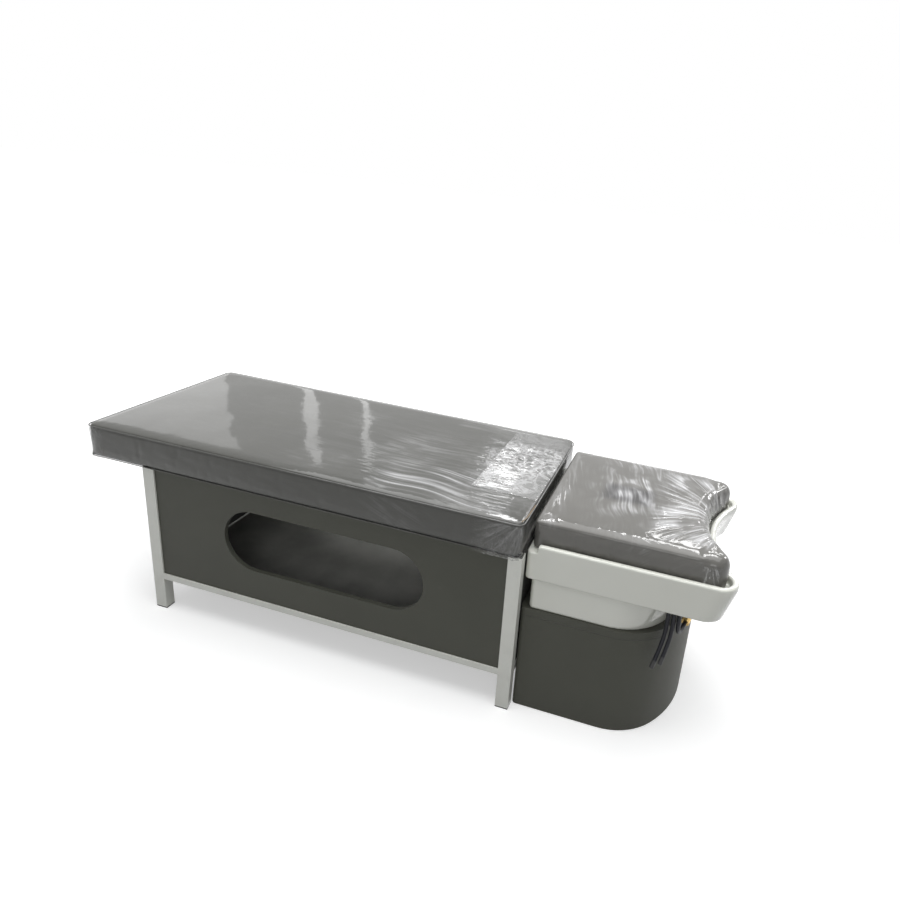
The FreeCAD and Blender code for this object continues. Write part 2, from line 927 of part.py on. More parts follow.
def pedestal_bolt_holes():
    middle = "lower_rail_bottom + rail_height / 2"
    return [
        cylinder(
            f"pedestal_rail_hole_{index}", ("frame_right - tube_wall", y, middle),
            "bolt_radius", "tube_wall", "x",
        )
        for index, y in enumerate(pedestal_bolt_places())
    ]


def build_pedestal():
    skin = v.cover_skin
    wall = skin + v.shell_wall
    top = v.pedestal_height
    bolt_z = v.lower_rail_bottom + v.rail_height / 2
    bolt_rows = (-v.pedestal_width / 4, v.pedestal_width / 4)
    shell = prism(pedestal_outline(skin, 0), top - skin)
    shell = shell.cut(prism(pedestal_outline(wall, 0), top - skin))
    cover = prism(pedestal_outline(0, v.skirt_lift), top - v.skirt_lift)
    cover = cover.cut(prism(pedestal_outline(skin, v.skirt_lift), top - skin - v.skirt_lift))
    opening = prism(pedestal_outline(v.top_opening_margin, top - v.top_board - skin), top)
    cover = cover.cut(opening)
    board = prism(pedestal_outline(wall, top - skin - v.top_board), v.top_board).cut(opening)
    for y in bolt_rows:
        hole = Part.makeCylinder(
            v.bolt_radius + v.bolt_play, wall, Vector(v.basin_left, y, bolt_z), Vector(1, 0, 0)
        )
        shell = shell.cut(hole)
        cover = cover.cut(hole)
    keep(feature("pedestal_shell", shell), "pedestal_shell")
    keep(feature("pedestal_cover", cover), "pedestal_cover")
    keep(feature("pedestal_top_board", board), "pedestal_top_board")

    posts = []
    near = "basin_left + cover_skin + shell_wall"
    far = "pedestal_straight_end - post_margin - post_side"
    half = "pedestal_width / 2 - cover_skin - shell_wall"
    for index, (x, y) in enumerate((
        (near, f"pedestal_corner - ({half})"),
        (near, f"{half} - pedestal_corner - post_side"),
        (far, f"-({half})"),
        (far, f"{half} - post_side"),
    )):
        posts.append(box(
            f"pedestal_post_{index}", (x, y, "0"),
            ("post_side", "post_side", "pedestal_height - cover_skin - top_board"),
        ))
    keep(group("pedestal_posts", posts), "pedestal_posts")

    bolts = []
    for index, y in enumerate(pedestal_bolt_places()):
        middle = "lower_rail_bottom + rail_height / 2"
        inner = "basin_left + cover_skin + shell_wall"
        head = cylinder(
            f"pedestal_bolt_head_{index}", (inner, y, middle),
            "bolt_head_radius", "bolt_head_height", "x",
        )
        shank = cylinder(
            f"pedestal_bolt_shank_{index}", (inner, y, middle),
            "bolt_radius", "cover_skin + shell_wall + unit_gap + bolt_bite", "-x",
        )
        bolts.append(fuse(f"pedestal_bolt_{index}", [head, shank]))
    keep(group("pedestal_bolts", bolts), "pedestal_bolts")
    spacers = []
    for index, y in enumerate(pedestal_bolt_places()):
        middle = "lower_rail_bottom + rail_height / 2"
        ring = cylinder(
            f"pedestal_spacer_ring_{index}", ("frame_right", y, middle),
            "bolt_head_radius", "unit_gap", "x",
        )
        bore = cylinder(
            f"pedestal_spacer_bore_{index}", ("frame_right", y, middle),
            "bolt_radius + bolt_play", "unit_gap", "x",
        )
        spacers.append(cut(f"pedestal_spacer_{index}", ring, [bore]))
    keep(group("pedestal_spacers", spacers), "pedestal_spacers")


# Basin

def rim_outline(inset, height, left=None, lean=0):
    """The basin's outer outline, moved inward by inset."""
    start = v.basin_left + inset if left is None else left
    return end_outline(
        start,
        v.basin_left + v.basin_length - inset - lean,
        v.basin_side - inset,
        v.basin_corner,
        v.horn_radius - inset,
        v.notch_depth,
        height,
    )


def body_outline(inset, flare, height, end_inset=0):
    """The bowl body under the skirt, which flares a little as it rises."""
    tip = v.basin_left + v.pedestal_length - v.pedestal_bulge - v.body_end_inset
    return end_outline(
        v.basin_left + v.body_inset + inset,
        tip + flare - inset - end_inset,
        v.basin_side - v.body_side_inset - inset,
        v.basin_corner,
        v.body_end_corner - inset,
        -v.body_bulge,
        height,
    )


def well_outline(taper, height, grow):
    """The deep bowl, which narrows by taper as it goes down."""
    end_taper = taper * v.well_end_share
    return end_outline(
        v.basin_left + v.well_start + taper - grow,
        v.basin_left + v.basin_length - v.well_end - end_taper + grow,
        v.well_width / 2 - taper + grow,
        v.well_front_corner - end_taper + grow,
        v.well_end_corner - taper + grow,
        -v.well_bulge,
        height,
    )


def well_form(grow, top):
    """Walls that lean in, then a rounded foot in a few steps."""
    radius = v.well_round + grow
    floor = v.well_floor - grow
    levels = [(0, top)]
    steps = round(v.well_round_steps)
    for index in range(steps + 1):
        angle = math.pi / 2 * index / steps
        levels.append((
            v.well_taper + radius * (1 - math.cos(angle)),
            floor + radius * (1 - math.sin(angle)),
        ))
    return loft([well_outline(taper, height, grow) for taper, height in levels], True)


def tray_form(grow, top):
    """The shallow tray round the well: its floor rises towards the mattress."""
    inset = v.rim_width + v.ledge_width
    high = rim_outline(inset - grow, top, v.basin_left + v.ledge_start - grow)
    low = end_outline(
        v.basin_left + v.ledge_start + v.tray_slope_run - grow,
        v.basin_left + v.basin_length - inset - v.tray_floor_inset + grow,
        v.basin_side - inset - v.tray_floor_inset + grow,
        v.basin_corner,
        v.tray_corner,
        v.notch_depth,
        v.tray_floor - grow,
    )
    return loft([low, high], True)


def build_basin():
    overrun = v.rim_round
    skirt = loft([
        rim_outline(0, v.skirt_bottom, lean=v.end_lean),
        rim_outline(0, v.rim_top - 3 * v.rim_round),
        rim_outline(0, v.rim_top),
    ], True)
    roof = v.ledge_top - v.basin_wall
    lower = loft([
        body_outline(0, 0, v.pedestal_height),
        body_outline(0, v.body_flare, v.skirt_bottom),
    ], True)
    upper = prism(body_outline(0, v.body_flare, v.skirt_bottom), roof - v.skirt_bottom)
    bowl_body = lower.fuse(upper)

    seat = prism(rim_outline(v.rim_width, v.ledge_top, v.basin_left - overrun), v.skirt_height)
    step = Part.makeBox(
        v.step_length + overrun, v.basin_width + 2 * overrun, v.skirt_height,
        Vector(v.basin_left - overrun, -v.basin_side - overrun, v.ledge_top),
    )
    hollow_skirt = loft([
        rim_outline(v.basin_wall, v.skirt_bottom, lean=v.end_lean),
        rim_outline(v.basin_wall, roof),
    ], True).cut(bowl_body)
    wall = v.basin_wall
    end_inset = v.hollow_end_inset
    hollow_body = loft([
        body_outline(wall, 0, v.pedestal_height, end_inset),
        body_outline(wall, v.body_flare, v.skirt_bottom, end_inset),
    ], True)
    hollow_body = hollow_body.fuse(
        prism(body_outline(wall, v.body_flare, v.skirt_bottom, end_inset), roof - v.skirt_bottom)
    )
    deck = Part.makeCylinder(
        v.tap_pocket + v.deck_margin, v.ledge_top - v.deck_underside,
        Vector(v.tap_x, -v.tap_side, v.deck_underside),
    )
    linings = [tray_form(v.basin_wall, v.ledge_top), well_form(v.basin_wall, v.tray_floor), deck]
    hollow = hollow_skirt.fuse(hollow_body)
    for lining in linings:
        hollow = hollow.cut(lining)

    basin = skirt.fuse(bowl_body).fuse(well_form(v.basin_wall, v.tray_floor))
    basin = basin.cut(seat).cut(step)
    top_edges = [
        edge for edge in basin.Edges
        if all(abs(vertex.Z - v.rim_top) < v.rim_round / 100 for vertex in edge.Vertexes)
    ]
    basin = basin.makeFillet(v.rim_round, top_edges)
    pocket = Part.makeCylinder(
        v.tap_pocket, v.skirt_height, Vector(v.tap_x, -v.tap_side, v.tray_floor)
    )
    tap_hole = Part.makeCylinder(
        v.tap_hole, 2 * v.deck_thickness,
        Vector(v.tap_x, -v.tap_side, v.deck_underside - v.deck_thickness / 2),
    )
    drain_hole = Part.makeCylinder(
        v.drain_radius, 3 * v.basin_wall, Vector(v.drain_x, 0, v.well_underside - v.basin_wall)
    )
    screw_x = v.pivot_x - v.bracket_base_length + v.bracket_screw_inset
    screw_holes = [
        Part.makeCylinder(
            v.screw_radius, v.bracket_screw_bite,
            Vector(screw_x, y, v.tray_floor - v.bracket_screw_bite),
        )
        for y in (-v.bracket_screw_side, v.bracket_screw_side)
    ]
    inside = [tray_form(0, v.ledge_top), well_form(0, v.tray_floor), hollow]
    for tool in (*inside, pocket, tap_hole, drain_hole, *screw_holes):
        basin = basin.cut(tool)

    under_skirt = Part.makeBox(
        v.basin_length, v.basin_width, v.body_height,
        Vector(v.basin_left, -v.basin_side, v.pedestal_height),
    ).cut(well_form(v.basin_wall, v.tray_floor))
    keep(feature("basin_apron", basin.common(under_skirt)), "basin_apron")
    keep(feature("basin", basin.cut(under_skirt)), "basin")


# Drain

def build_drain():
    centre = ("drain_x", "0")
    tail_radius = "(drain_radius - drain_fit)"
    flange_top = "(drain_tail + drain_flange_height)"
    seat_radius = "strainer_radius + strainer_play"
    seat_floor = f"{flange_top} - drain_seat_depth"
    keep(turned("drain_flange", [
        ("drain_bore", "0"),
        (tail_radius, "0"),
        (tail_radius, "drain_tail"),
        ("drain_flange_radius", "drain_tail"),
        ("drain_flange_radius", flange_top),
        (seat_radius, flange_top),
        (seat_radius, seat_floor),
        ("drain_bore", seat_floor),
    ], (*centre, "well_floor - drain_tail")), "drain_flange")
    keep(turned("drain_gasket", ring_profile(
        "drain_radius", "gasket_radius", "gasket_height",
    ), (*centre, "well_underside - gasket_height")), "drain_gasket")
    keep(turned("drain_lock_nut", ring_profile(
        "drain_radius", "drain_nut_radius", "drain_nut_height",
    ), (*centre, "well_underside - gasket_height - drain_nut_height")), "drain_lock_nut")
    disc_top = "strainer_cup_depth + strainer_height"
    strainer = turned("drain_strainer", [
        ("0", "0"),
        ("strainer_cup_radius", "0"),
        ("strainer_cup_radius", "strainer_cup_depth"),
        ("strainer_radius", "strainer_cup_depth"),
        ("strainer_radius", disc_top),
        ("strainer_knob_radius", disc_top),
        ("strainer_knob_radius", f"{disc_top} + strainer_knob_height"),
        ("0", f"{disc_top} + strainer_knob_height"),
    ], (
        *centre,
        "well_floor + drain_flange_height - drain_seat_depth + rest_gap - strainer_cup_depth",
    ))
    hole_ring(strainer, "drain_strainer", "strainer_hole", "strainer_ring", "strainer_hole_count")
    keep(strainer, "drain_strainer")
    tail_outer = "drain_bore - tailpiece_fit"
    tail_height = "well_floor - drain_tail + tail_lap - trap_top + trap_dip"
    keep(turned("drain_tailpiece", ring_profile(
        f"{tail_outer} - tailpiece_wall", tail_outer, tail_height,
    ), (*centre, "trap_top - trap_dip")), "drain_tailpiece")

    bottle = turned("bottle_trap_bottle", [
        ("0", "0"),
        ("trap_radius", "0"),
        ("trap_radius", "trap_height"),
        ("trap_collar_radius", "trap_height"),
        ("trap_collar_radius", "trap_height + trap_collar"),
        ("drain_bore", "trap_height + trap_collar"),
        ("drain_bore", "trap_height - trap_wall"),
        ("trap_radius - trap_wall", "trap_height - trap_wall"),
        ("trap_radius - trap_wall", "trap_wall"),
        ("0", "trap_wall"),
    ], (*centre, "trap_bottom"))
    outlet = cylinder(
        "bottle_trap_outlet", ("drain_x - trap_radius - trap_wall", "0", "waste_height"),
        "waste_radius", "3 * trap_wall", "x",
    )
    keep(cut("bottle_trap", bottle, [outlet]), "bottle_trap")

    start = Vector(v.drain_x - v.trap_radius + v.trap_wall, 0, v.waste_height)
    bend_start = Vector(v.waste_x + v.waste_bend, 0, v.waste_height)
    lean = v.waste_bend * (1 - math.sqrt(0.5))
    bend_middle = Vector(v.waste_x + lean, 0, v.waste_height - lean)
    bend_end = Vector(v.waste_x, 0, v.waste_height - v.waste_bend)
    foot = Vector(v.waste_x, 0, v.waste_bottom)
    route = Part.Wire([line(start, bend_start), arc(bend_start, bend_middle, bend_end), line(bend_end, foot)])
    outer = swept(route, v.waste_radius)
    inner = swept(route, v.waste_radius - v.waste_wall)
    keep(feature("waste_pipe", outer.cut(inner)), "waste_pipe")


def ring_profile(inner, outer, height):
    return [(inner, "0"), (outer, "0"), (outer, height), (inner, height)]


def swept(route, radius):
    """A round bar along a wire of straight runs and tangent arcs."""
    first = route.OrderedEdges[0]
    start = first.valueAt(first.FirstParameter)
    way = first.tangentAt(first.FirstParameter)
    ring = Part.Wire([Part.Circle(start, way, radius).toShape()])
    return route.makePipeShell([ring], True, False)


# Tap

def build_tap():
    centre = ("tap_x", "-tap_side")
    shank = "tap_hole - tap_fit"
    flange_top = "shank_length + tap_flange_height"
    housing_top = f"{flange_top} + tap_housing_height"
    spindle_top = f"{housing_top} + spindle_height"
    keep(turned("mixer_body", [
        ("0", "0"),
        (shank, "0"),
        (shank, "shank_length"),
        ("tap_flange_radius", "shank_length"),
        ("tap_flange_radius", flange_top),
        ("tap_housing_radius", flange_top),
        ("tap_housing_radius", housing_top),
        ("spindle_radius", housing_top),
        ("spindle_radius", spindle_top),
        ("0", spindle_top),
    ], (*centre, "shank_bottom")), "mixer_body")
    bore = "spindle_radius + knob_fit"
    knob = turned("mixer_knob", [
        (bore, "0"),
        ("knob_radius", "0"),
        ("knob_radius", "knob_height - knob_skirt"),
        ("knob_radius - knob_skirt", "knob_height"),
        ("0", "knob_height"),
        ("0", "spindle_height"),
        (bore, "spindle_height"),
    ], (*centre, f"shank_bottom + {housing_top} + knob_gap"))
    hole_ring(knob, "mixer_knob", "knob_groove_radius", "knob_radius", "knob_grooves")
    keep(knob, "mixer_knob")
    keep(turned("mixer_lock_nut", ring_profile(
        "tap_hole", "tap_nut_radius", "tap_nut_height",
    ), (*centre, "deck_underside - tap_nut_height")), "mixer_lock_nut")
    keep(box(
        "hose_manifold_block",
        ("tap_x - manifold_length / 2", "-tap_side - manifold_width / 2", "hose_top"),
        ("manifold_length", "manifold_width", "manifold_height"),
    ), "hose_manifold")


# Hoses, whose points are in millimetres from the floor under the bed's middle

BEND_SHARE = 0.45
HOSE_ROUTES = {
    "hose_cold": [
        (844, -230, 448), (844, -230, 403), (845, -235, 358), (840, -244, 313), (829, -262, 272),
    ],
    "hose_shower": [
        (859, -230, 448), (859, -230, 406), (861, -236, 364), (857, -246, 323), (849, -258, 287),
    ],
    "hose_hot": [
        (874, -230, 448), (874, -230, 407), (875, -231, 365.6), (879.5, -215.8, 343.8),
        (886.8, -191.2, 335.4), (894.1, -166.6, 343.8),
    ],
}


def hose_route(points):
    """Straight runs joined by tangent arcs, each as large as its runs allow."""
    corners = [Vector(*point) for point in points]
    edges = []
    start = corners[0]
    radii = []
    for before, here, after in zip(corners, corners[1:], corners[2:]):
        back = before - here
        ahead = after - here
        shorter = min(back.Length, ahead.Length)
        back.normalize()
        ahead.normalize()
        half_turn = (math.pi - back.getAngle(ahead)) / 2
        reach = BEND_SHARE * shorter
        radii.append(reach / math.tan(half_turn))
        enter = here + back * reach
        leave = here + ahead * reach
        inward = back + ahead
        inward.normalize()
        middle = here + inward * (reach / math.sin(half_turn) - radii[-1])
        edges.append(line(start, enter))
        edges.append(arc(enter, middle, leave))
        start = leave
    edges.append(line(start, corners[-1]))
    return Part.Wire(edges), radii


def build_hoses():
    for name, points in HOSE_ROUTES.items():
        route, radii = hose_route(points)
        tube = swept(route, v.hose_radius)
        ideal = math.pi * v.hose_radius ** 2 * route.Length
        print(
            name, "length", round(route.Length, 1), "least radius", round(min(radii), 1),
            "volume share", round(tube.Volume / ideal, 4),
        )
        keep(feature(name, tube), name)
        end = Vector(*points[-1])
        way = end - Vector(*points[-2])
        way.normalize()
        if name == "hose_hot":
            sizes = (v.hose_nut_radius, v.hose_nut_bore, v.hose_nut_length, v.hose_nut_depth)
        else:
            sizes = (v.hose_tip_radius, v.hose_tip_bore, v.hose_tip_length, v.hose_tip_depth)
        keep(feature(name + "_fitting", hose_fitting(end, way, *sizes)), name + "_fitting")


def hose_fitting(end, way, radius, bore, length, depth):
    """A sleeve or nut on a hose's end, with a blind bore at its mouth."""
    sleeve = Part.makeCylinder(radius, length, end, way)
    mouth = end + way * (length - depth)
    return sleeve.cut(Part.makeCylinder(bore, depth, mouth, way))


# Neck rest, folded down into the bowl

def strut(start, end, half_depth, half_width):
    """A flat bar between two points of the plane Y = 0."""
    along = end - start
    length = along.Length
    bar = Part.makeBox(
        length, 2 * half_width, 2 * half_depth, Vector(0, -half_width, -half_depth)
    )
    bar.Placement = FreeCAD.Placement(start, Rotation(Vector(1, 0, 0), along))
    return bar


def round_bar(centre, radius, half_width):
    foot = centre - Vector(0, half_width, 0)
    return Part.makeCylinder(radius, 2 * half_width, foot, Vector(0, 1, 0))


def u_outline(inset, height):
    """A horseshoe that opens towards the mattress."""
    right = v.pad_pivot_x + v.neck_pad_ahead
    outer = v.neck_pad_width / 2 - inset
    hub = right - v.neck_pad_width / 2
    left = right - v.neck_pad_length + inset
    slot = v.neck_slot_radius + inset
    corner = v.neck_pad_corner - inset / 2
    bend = corner * (1 - math.sqrt(0.5))

    def prong(sign):
        def at(x, y):
            return Vector(x, sign * y, height)
        return [
            (at(hub, outer), at(left + corner, outer)),
            (at(left + corner, outer), at(left + bend, outer - bend), at(left, outer - corner)),
            (at(left, outer - corner), at(left, slot + corner)),
            (at(left, slot + corner), at(left + bend, slot + bend), at(left + corner, slot)),
            (at(left + corner, slot), at(hub, slot)),
            (
                at(hub, slot),
                at(hub + slot * math.sqrt(0.5), slot * math.sqrt(0.5)),
                at(hub + slot, 0),
            ),
        ]

    outer_bend = outer * math.sqrt(0.5)
    near = prong(-1)
    far = [tuple(reversed(points)) for points in reversed(prong(1))]
    crest = Vector(hub + outer, 0, height)
    back = [
        (Vector(hub, outer, height), Vector(hub + outer_bend, outer_bend, height), crest),
        (crest, Vector(hub + outer_bend, -outer_bend, height), Vector(hub, -outer, height)),
    ]
    return Part.Wire([
        line(*points) if len(points) == 2 else arc(*points) for points in near + far + back
    ])


def build_neck_rest():
    pivot = Vector(v.pivot_x, 0, v.pivot_z)
    pad_pivot = Vector(v.pad_pivot_x, 0, v.pad_pivot_z)
    knee = pivot + Vector(v.arm_knee_reach, 0, -v.arm_knee_drop)
    half = v.arm_width / 2
    ear_inner = half + v.ear_gap
    ear_outer = ear_inner + v.ear_thickness

    arm = round_bar(pivot, v.arm_eye_radius, half)
    for piece in (
        strut(pivot, knee, v.arm_half_depth, half),
        round_bar(knee, v.arm_half_depth, half),
        strut(knee, pad_pivot, v.arm_half_depth, half),
        round_bar(pad_pivot, v.arm_eye_radius, half),
        round_bar(pad_pivot, v.pivot_radius, ear_outer),
    ):
        arm = arm.fuse(piece)
    arm = arm.cut(round_bar(pivot, v.pivot_radius + v.pivot_fit, half)).removeSplitter()
    keep(feature("neck_rest_arm", arm), "neck_rest_arm")

    base = Part.makeBox(
        v.bracket_base_length / 2, v.bracket_base_width, v.bracket_base_thickness,
        Vector(v.pivot_x - v.bracket_base_length, -v.bracket_base_width / 2, v.tray_floor),
    )
    bracket = base
    for low in (-ear_outer, ear_inner):
        bracket = bracket.fuse(Part.makeBox(
            v.bracket_base_length, v.ear_thickness, v.ear_radius,
            Vector(v.pivot_x - v.bracket_base_length, low, v.tray_floor),
        ))
        bracket = bracket.fuse(Part.makeCylinder(
            v.ear_radius, v.ear_thickness, Vector(v.pivot_x, low, v.pivot_z), Vector(0, 1, 0)
        ))
    bracket = bracket.cut(round_bar(pivot, v.pivot_radius, ear_outer)).removeSplitter()
    screw_x = v.pivot_x - v.bracket_base_length + v.bracket_screw_inset
    face = v.tray_floor + v.bracket_base_thickness
    screws = []
    for y in (-v.bracket_screw_side, v.bracket_screw_side):
        reach = v.bracket_base_thickness + v.bracket_screw_bite
        shank = Part.makeCylinder(v.screw_radius, reach, Vector(screw_x, y, face - reach))
        head = Part.makeCylinder(v.screw_head_radius, v.screw_head_height, Vector(screw_x, y, face))
        bracket = bracket.cut(shank)
        screws.append(shank.fuse(head))
    keep(feature("neck_rest_bracket", bracket), "neck_rest_bracket")
    keep(feature("neck_rest_screws", Part.makeCompound(screws)), "neck_rest_screws")
    keep(feature("neck_rest_pin", round_bar(pivot, v.pivot_radius, ear_outer)), "neck_rest_pin")

    plate = prism(u_outline(v.plate_inset, v.plate_bottom), v.plate_thickness)
    for low in (-ear_outer, ear_inner):
        lug = Part.makeCylinder(
            v.arm_eye_radius, v.ear_thickness,
            Vector(v.pad_pivot_x, low, v.pad_pivot_z), Vector(0, 1, 0),
        )
        neck = Part.makeBox(
            2 * v.arm_eye_radius, v.ear_thickness, v.lug_height,
            Vector(v.pad_pivot_x - v.arm_eye_radius, low, v.pad_pivot_z),
        )
        plate = plate.fuse(lug).fuse(neck)
    plate = plate.cut(round_bar(pad_pivot, v.pivot_radius + v.pivot_fit, ear_outer)).removeSplitter()
    keep(feature("neck_rest_plate", plate), "neck_rest_plate")

    foot = v.plate_bottom + v.plate_thickness
    levels = cushion_levels(
        foot, v.neck_pad_height, v.neck_pad_edge, v.neck_pad_crown,
        v.neck_pad_belly, v.neck_pad_spread,
    )
    pad = loft([u_outline(inset, height) for inset, height in levels], True)
    keep(feature("neck_rest_pad", pad), "neck_rest_pad")


# Lid, a loose cushion that covers the basin

def lid_outline(inset, height):
    return end_outline(
        v.lid_left + inset,
        v.lid_left + v.lid_length - inset,
        v.lid_side - inset,
        v.lid_corner,
        v.lid_lobe_radius - inset,
        v.lid_notch,
        height,
    )


def build_lid():
    levels = cushion_levels(
        v.lid_bottom, v.lid_height, v.lid_edge, v.lid_crown, v.lid_belly, v.lid_spread
    )
    form = loft([lid_outline(inset, height) for inset, height in levels], True)
    board = prism(lid_outline(v.lid_belly + v.board_lip, v.lid_bottom), v.lid_board)
    keep(feature("lid_board", board), "lid_board")
    keep(feature("lid_pad", form.cut(board)), "lid_pad")


def finish():
    doc.recompute()
    broken = [
        item.Name for item in doc.Objects
        if "Invalid" in item.State or "Error" in item.State
    ]
    if broken:
        raise RuntimeError("failed objects: " + ", ".join(broken))
    os.makedirs("parts", exist_ok=True)
    for item in subparts:
        shape = item.Shape
        if shape.isNull() or not shape.isValid() or not shape.Solids:
            raise RuntimeError("bad shape: " + item.Label)
        shape.exportStep(f"parts/{item.Label}.step")
    print(len(subparts), "sub-parts written")


build_frame()
build_board_bolts()
build_panel_screws()
build_side_panel("front")
build_side_panel("rear")
build_end_panel("foot")
build_end_panel("head")
build_storage_floor()
build_mattress()
build_pedestal()
build_basin()
build_drain()
build_tap()
build_hoses()
build_neck_rest()
build_lid()
finish()
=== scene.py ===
import bpy
import json
import math
import numpy as np
from mathutils import Matrix, Vector
from mathutils.kdtree import KDTree


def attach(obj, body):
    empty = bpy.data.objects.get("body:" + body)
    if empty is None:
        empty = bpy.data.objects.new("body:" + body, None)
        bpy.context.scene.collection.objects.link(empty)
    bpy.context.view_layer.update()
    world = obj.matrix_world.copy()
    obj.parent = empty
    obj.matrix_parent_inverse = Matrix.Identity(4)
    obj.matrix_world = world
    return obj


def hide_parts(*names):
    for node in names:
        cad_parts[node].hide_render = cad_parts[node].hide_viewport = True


# A hair washing bed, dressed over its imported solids. Lengths are in metres.

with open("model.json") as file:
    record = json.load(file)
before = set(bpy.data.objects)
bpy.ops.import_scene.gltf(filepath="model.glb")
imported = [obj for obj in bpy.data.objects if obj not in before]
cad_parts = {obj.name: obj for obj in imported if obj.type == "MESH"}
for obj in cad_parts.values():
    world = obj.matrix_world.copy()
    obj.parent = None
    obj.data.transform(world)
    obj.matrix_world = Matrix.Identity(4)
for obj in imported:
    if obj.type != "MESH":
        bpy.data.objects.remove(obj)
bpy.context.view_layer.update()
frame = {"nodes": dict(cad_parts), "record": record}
nodes = frame["nodes"]
scene = bpy.context.scene


# Camera, fitted to the photograph: place, then yaw, pitch and roll in degrees

CAMERA_PLACE = (0.8056, -1.7375, 1.5102)
CAMERA_TURN = (12.862, -17.982, 6.175)


def add_camera():
    yaw, pitch, roll = (math.radians(angle) for angle in CAMERA_TURN)
    forward = Vector((
        -math.sin(yaw) * math.cos(pitch), math.cos(yaw) * math.cos(pitch), math.sin(pitch),
    ))
    level = Vector((math.cos(yaw), math.sin(yaw), 0))
    upward = level.cross(forward)
    right = level * math.cos(roll) + upward * math.sin(roll)
    top = upward * math.cos(roll) - level * math.sin(roll)
    turn = Matrix((right, top, -forward)).transposed().to_4x4()
    data = bpy.data.cameras.new("camera")
    data.sensor_width = 36
    data.lens = 25.485
    data.shift_x = -0.1176
    data.shift_y = -0.0782
    data.clip_start = 0.05
    data.clip_end = 60
    camera = bpy.data.objects.new("camera", data)
    camera.matrix_world = Matrix.Translation(CAMERA_PLACE) @ turn
    scene.collection.objects.link(camera)
    scene.camera = camera


# Node graphs for materials

class Graph:
    """A new material or world, whose nodes are added one by one and linked by sockets."""

    def __init__(self, name, kind="materials"):
        self.owner = getattr(bpy.data, kind).new(name)
        self.owner.use_nodes = True
        self.tree = self.owner.node_tree
        self.tree.nodes.clear()

    def add(self, kind, inputs=None, **settings):
        node = self.tree.nodes.new("ShaderNode" + kind)
        for key, value in settings.items():
            setattr(node, key, value)
        for key, value in (inputs or {}).items():
            self.feed(node.inputs[key], value)
        return node

    def feed(self, socket, value):
        if isinstance(value, bpy.types.NodeSocket):
            self.tree.links.new(value, socket)
        elif isinstance(value, bpy.types.Node):
            self.tree.links.new(value.outputs[0], socket)
        elif isinstance(value, tuple) and len(value) == 3 and socket.type == "RGBA":
            socket.default_value = (*value, 1)
        else:
            socket.default_value = value

    def place(self):
        return self.add("TexCoord").outputs["Object"]

    def scaled(self, vector, scale):
        return self.add("Mapping", {"Vector": vector, "Scale": scale})

    def noise(self, vector, scale, detail=3, roughness=0.5, distortion=0):
        node = self.add("TexNoise", {
            "Vector": vector, "Scale": scale, "Detail": detail,
            "Roughness": roughness, "Distortion": distortion,
        })
        return node.outputs[0]

    def cells(self, vector, scale, feature="F1"):
        node = self.add("TexVoronoi", {"Vector": vector, "Scale": scale}, feature=feature)
        return node.outputs["Distance"]

    def math(self, operation, first, second=0.0, clamp=False):
        node = self.add("Math", {0: first, 1: second}, operation=operation, use_clamp=clamp)
        return node.outputs[0]

    def spread(self, value, low, high, to_low=0.0, to_high=1.0):
        """Smoothly from to_low, where value is low, to to_high, where it is high."""
        return self.add("MapRange", {
            "Value": value, "From Min": low, "From Max": high, "To Min": to_low, "To Max": to_high,
        }, interpolation_type="SMOOTHSTEP").outputs[0]

    def blend(self, share, first, second):
        """Mixes two colours, which the node takes at its sockets 6 and 7."""
        return self.add("Mix", {0: share, 6: first, 7: second}, data_type="RGBA").outputs[2]

    def attribute(self, name, output="Fac"):
        return self.add("Attribute", attribute_name=name).outputs[output]

    def bump(self, height, distance, strength, normal=None):
        inputs = {"Height": height, "Distance": distance, "Strength": strength}
        if normal is not None:
            inputs["Normal"] = normal
        return self.add("Bump", inputs).outputs[0]

    def finish(self, inputs):
        self.add("OutputMaterial", {"Surface": self.add("BsdfPrincipled", inputs)})
        return self.owner


def shade(colour, share):
    return tuple(c * share for c in colour)


def powder_coat():
    g = Graph("powder_coat")
    place = g.place()
    peel = g.noise(place, 900, 2)
    dust = g.spread(g.noise(place, 14, 4, 0.6), 0.35, 0.75)
    scuff = g.spread(g.noise(g.scaled(place, (1, 1, 0.25)), 90, 5, 0.7), 0.68, 0.8)
    colour = g.blend(dust, (0.83, 0.838, 0.785), (0.79, 0.795, 0.742))
    colour = g.blend(g.math("MULTIPLY", scuff, 0.35), colour, (0.52, 0.52, 0.49))
    return g.finish({
        "Base Color": colour,
        "Roughness": g.spread(dust, 0, 1, 0.3, 0.42),
        "Normal": g.bump(peel, 0.0002, 0.35),
        "Coat Weight": 0.25,
        "Coat Roughness": 0.2,
    })


def plain_plastic(name, colour, roughness, coat=0.0):
    g = Graph(name)
    place = g.place()
    tone = g.spread(g.noise(place, 30, 4, 0.6), 0.3, 0.7)
    fine = g.noise(place, 1200, 2)
    return g.finish({
        "Base Color": g.blend(tone, colour, shade(colour, 0.82)),
        "Roughness": g.spread(tone, 0, 1, roughness, roughness * 1.3),
        "Normal": g.bump(fine, 0.0001, 0.5),
        "Coat Weight": coat,
        "Coat Roughness": 0.15,
    })


def leather_grain(g, place):
    """Small uneven cells with soft creases between them."""
    bent = g.add("VectorMath", {
        0: place,
        1: g.add("VectorMath", {
            0: g.add("TexNoise", {"Vector": place, "Scale": 260, "Detail": 2}).outputs["Color"],
            "Scale": 0.0016,
        }, operation="SCALE").outputs[0],
    }, operation="ADD").outputs[0]
    crease = g.spread(g.cells(bent, 620, "DISTANCE_TO_EDGE"), 0.0, 0.2)
    pores = g.noise(place, 2400, 2)
    return g.math("ADD", crease, g.math("MULTIPLY", pores, 0.35))


